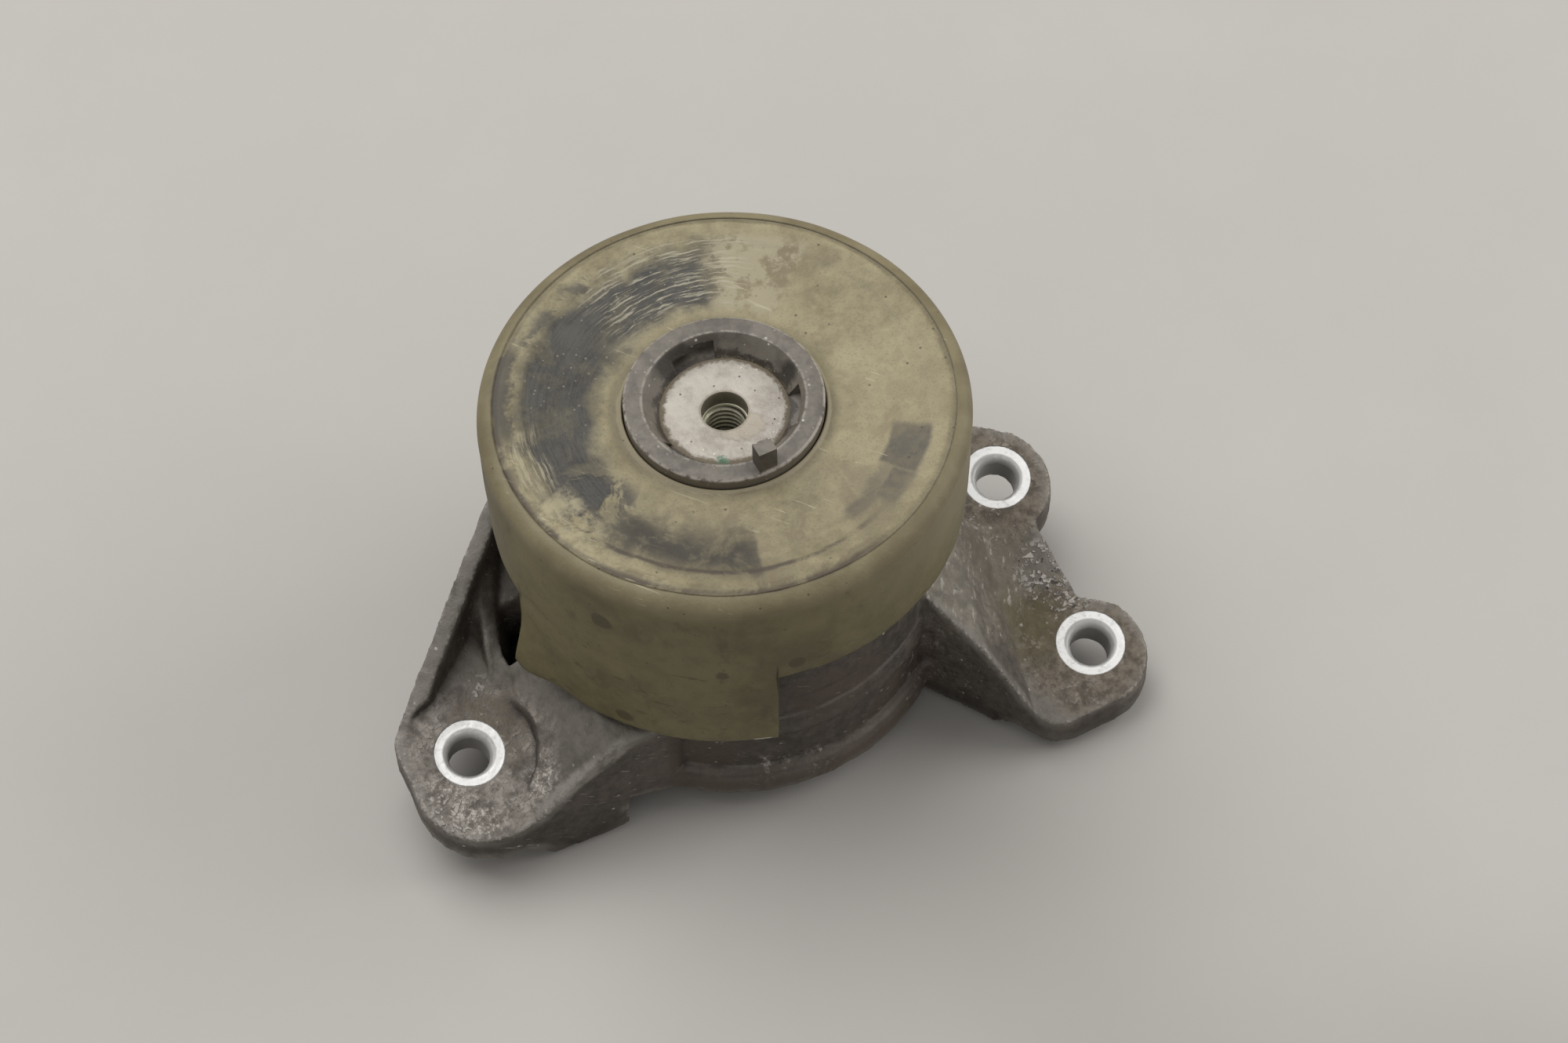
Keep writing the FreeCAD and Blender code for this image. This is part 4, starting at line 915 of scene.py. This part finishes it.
insert = {
    "pitch": 1.5,                   # mm
    "threadDepth": 0.72,
    "columns": 96,
    "turnRows": 8,                  # points along one turn of the thread
    "lead": 1.1,                    # height over which the thread runs out at the top
    "mouth": 5.3,
    "lip": 6.0,
    "tones": {
        "dark": (196, 190, 160), "light": (232, 228, 206), "root": (34, 30, 24), "deep": (30, 27, 22),
    },
}


def threadFinish():
    finish = Finish("zincThread", insert["tones"], roughness=0.32, metallic=0.5)
    x, y, z = finish.parts()
    cloud = finish.grain(4)
    fine = finish.grain(0.5, 3)
    finish.base = finish.blend("dark", "light", (cloud * 0.6 + fine * 0.4).step(0.36, 0.62))
    # painted shade: the thread's roots and the bore further down near black
    finish.paint("root", finish.carried("root").step(0.25, 0.7) * 0.92)
    finish.paint("deep", z.step(80.0, 75.0) * 0.8)
    return finish.done(0.26 + cloud * 0.25, fine, 0.05, 0.5)


def threadMesh():                   # an insert with a real helical thread in its bore
    low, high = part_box("thread_insert")
    outer = high[0] / mm
    top = high[2] / mm
    bottom = low[2] / mm
    minor = mounts["engine_thread"]["dims"]["r_mm"]
    pitch = insert["pitch"]
    columns = insert["columns"]
    rows = int((top - bottom) / pitch * insert["turnRows"])
    shell = ((insert["mouth"], top), (insert["lip"], top), (outer, top), (outer, (top + bottom) / 2),
             (outer, bottom))
    points = []
    roots = []
    for column in range(columns):
        share = -column / columns               # of a turn, clockwise from above
        turn = 360 * share
        for height in np.linspace(bottom, top, rows):
            phase = (height / pitch - share) % 1.0
            tooth = min(1.0, max(0.0, 2.4 * (0.5 - abs(phase - 0.5)) - 0.1))
            lead = smooth((top - height) / insert["lead"])
            radius = minor + insert["threadDepth"] * tooth * lead + (1 - lead) * 0.85
            points.append(around(radius, turn, height) * mm)
            roots.append(tooth * lead)
        for radius, height in shell:
            points.append(around(radius, turn, height) * mm)
            roots.append(0.0)
    mesh = lathed("threadInsert", points, columns)
    keep(mesh, "root", roots)
    return mesh


inner = {                           # the parts that keep their CAD shape, by finish
    "pressedSteel": {
        "nodes": ("stop_plate", "spring_sleeve", "rebound_disc", "bellows_ring", "snap_ring"),
        "tones": ((70, 66, 62), (104, 98, 90), (150, 120, 90)), "cloud": 8, "roughness": 0.45,
        "metallic": 0.6,
    },
    "blackRubber": {
        "nodes": ("bump_buffer", "main_spring", "decoupler_disc", "channel_seal", "bellows"),
        "tones": ((24, 23, 22), (40, 38, 36), (74, 70, 62)), "cloud": 8, "roughness": 0.7, "metallic": 0.0,
    },
    "blackCup": {
        "nodes": ("bottom_cup",),
        "tones": ((26, 25, 24), (44, 42, 40), (110, 88, 66)), "cloud": 14, "roughness": 0.45, "metallic": 0.2,
    },
    "channelCasting": {
        "nodes": ("upper_channel_plate", "lower_channel_plate"),
        "tones": ((120, 118, 114), (158, 156, 152), (190, 188, 184)), "cloud": 8, "roughness": 0.4,
        "metallic": 0.6,
    },
}
floorLook = {
    "tones": ((186, 182, 176), (190, 186, 180), (190, 186, 180)), "cloud": 400, "roughness": 0.8,
    "metallic": 0.0,
}


def plainFinish(name, look, depth=0.12):        # low, high and worn tones in soft clouds, with a little dust
    low, high, worn = look["tones"]
    size = look["cloud"]
    finish = Finish(name, {"dust": (96, 88, 74)}, look["roughness"], look["metallic"])
    cloud = finish.grain(size)
    mottle = finish.grain(size / 5, 5, 0.7)
    fine = finish.grain(size / 16, 4, 0.7)
    finish.base = finish.blend(low, high, (cloud * 0.5 + mottle * 0.5).step(0.36, 0.64))
    finish.paint(worn, mottle.step(0.62, 0.72) * fine.step(0.4, 0.6) * 0.6)
    finish.paint("dust", finish.grain(size * 1.6, 3).step(0.56, 0.72) * 0.3)
    return finish.done(look["roughness"] + (mottle - 0.5) * 0.3, fine * 0.5 + mottle * 0.5, depth, 0.7)


castBracket(castFinish())
newPiece("heatShieldCap", capMesh(), capFinish(), "heat_shield_cap")
softened("locating_ring", "locatingRing", ringFinish(), ring["bevel"])
softened("core", "coreBody", coreFinish(), core["bevel"])
newPiece("threadInsert", threadMesh(), threadFinish(), "thread_insert")
for name, look in inner.items():
    finish = plainFinish(name, look)
    for node in look["nodes"]:
        cadLook(node, finish)
print("inner parts: done")


camera = {
    "aim": Vector((9.8, -7.8, 50.0)) * mm,
    "turn": -25.28,                 # degrees about Z from looking along +Y
    "rise": 55.62,
    "roll": -2.22,
    "distance": 1.0722,
    "lens": 108.0,
}
lighting = {
    "world": 0.40,
    "keyPower": 13.5,
    "keySize": 1.3,
    "keyPlace": Vector((-0.25, 0.55, 1.25)),
    "fillPower": 7.5,
    "fillSize": 0.9,
    "fillPlace": Vector((1.2, -0.3, 0.75)),
}


def placeCamera():
    data = bpy.data.cameras.new("camera")
    data.sensor_width = 36.0
    data.lens = camera["lens"]
    data.clip_start = 0.01
    eye = added("camera", data)
    turn = Matrix.Rotation(math.radians(camera["turn"]), 4, "Z")
    tilt = Matrix.Rotation(math.radians(90 - camera["rise"]), 4, "X")
    roll = Matrix.Rotation(math.radians(camera["roll"]), 4, "Z")
    back = Matrix.Translation((0, 0, camera["distance"]))
    eye.matrix_world = Matrix.Translation(camera["aim"]) @ turn @ tilt @ roll @ back
    bpy.context.scene.camera = eye


def softLamp(name):
    data = bpy.data.lights.new(name, "AREA")
    data.size = lighting[name + "Size"]
    data.energy = lighting[name + "Power"]
    lamp = added(name, data)
    lamp.location = lighting[name + "Place"]
    lamp.rotation_euler = (camera["aim"] - lamp.location).to_track_quat("-Z", "Y").to_euler()


def lightWorld():
    world = bpy.data.worlds.new("studio")
    world.use_nodes = True
    sky = world.node_tree.nodes["Background"]
    sky.inputs["Color"].default_value = (1.0, 1.0, 1.0, 1.0)
    sky.inputs["Strength"].default_value = lighting["world"]
    bpy.context.scene.world = world


def layFloor():
    reach = 3.0
    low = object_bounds()[0][2] - 0.0002            # just below the part, so that they don't flicker
    mesh = bpy.data.meshes.new("floor")
    mesh.from_pydata([(-reach, -reach, low), (reach, -reach, low), (reach, reach, low), (-reach, reach, low)],
                     [], [(0, 1, 2, 3)])
    mesh.materials.append(plainFinish("paleFloor", floorLook, 0.01).material)
    added("floor", mesh)


placeCamera()
lightWorld()
softLamp("key")
softLamp("fill")
layFloor()
bpy.context.scene.view_settings.view_transform = "Standard"
print("camera, lamps and floor: done")
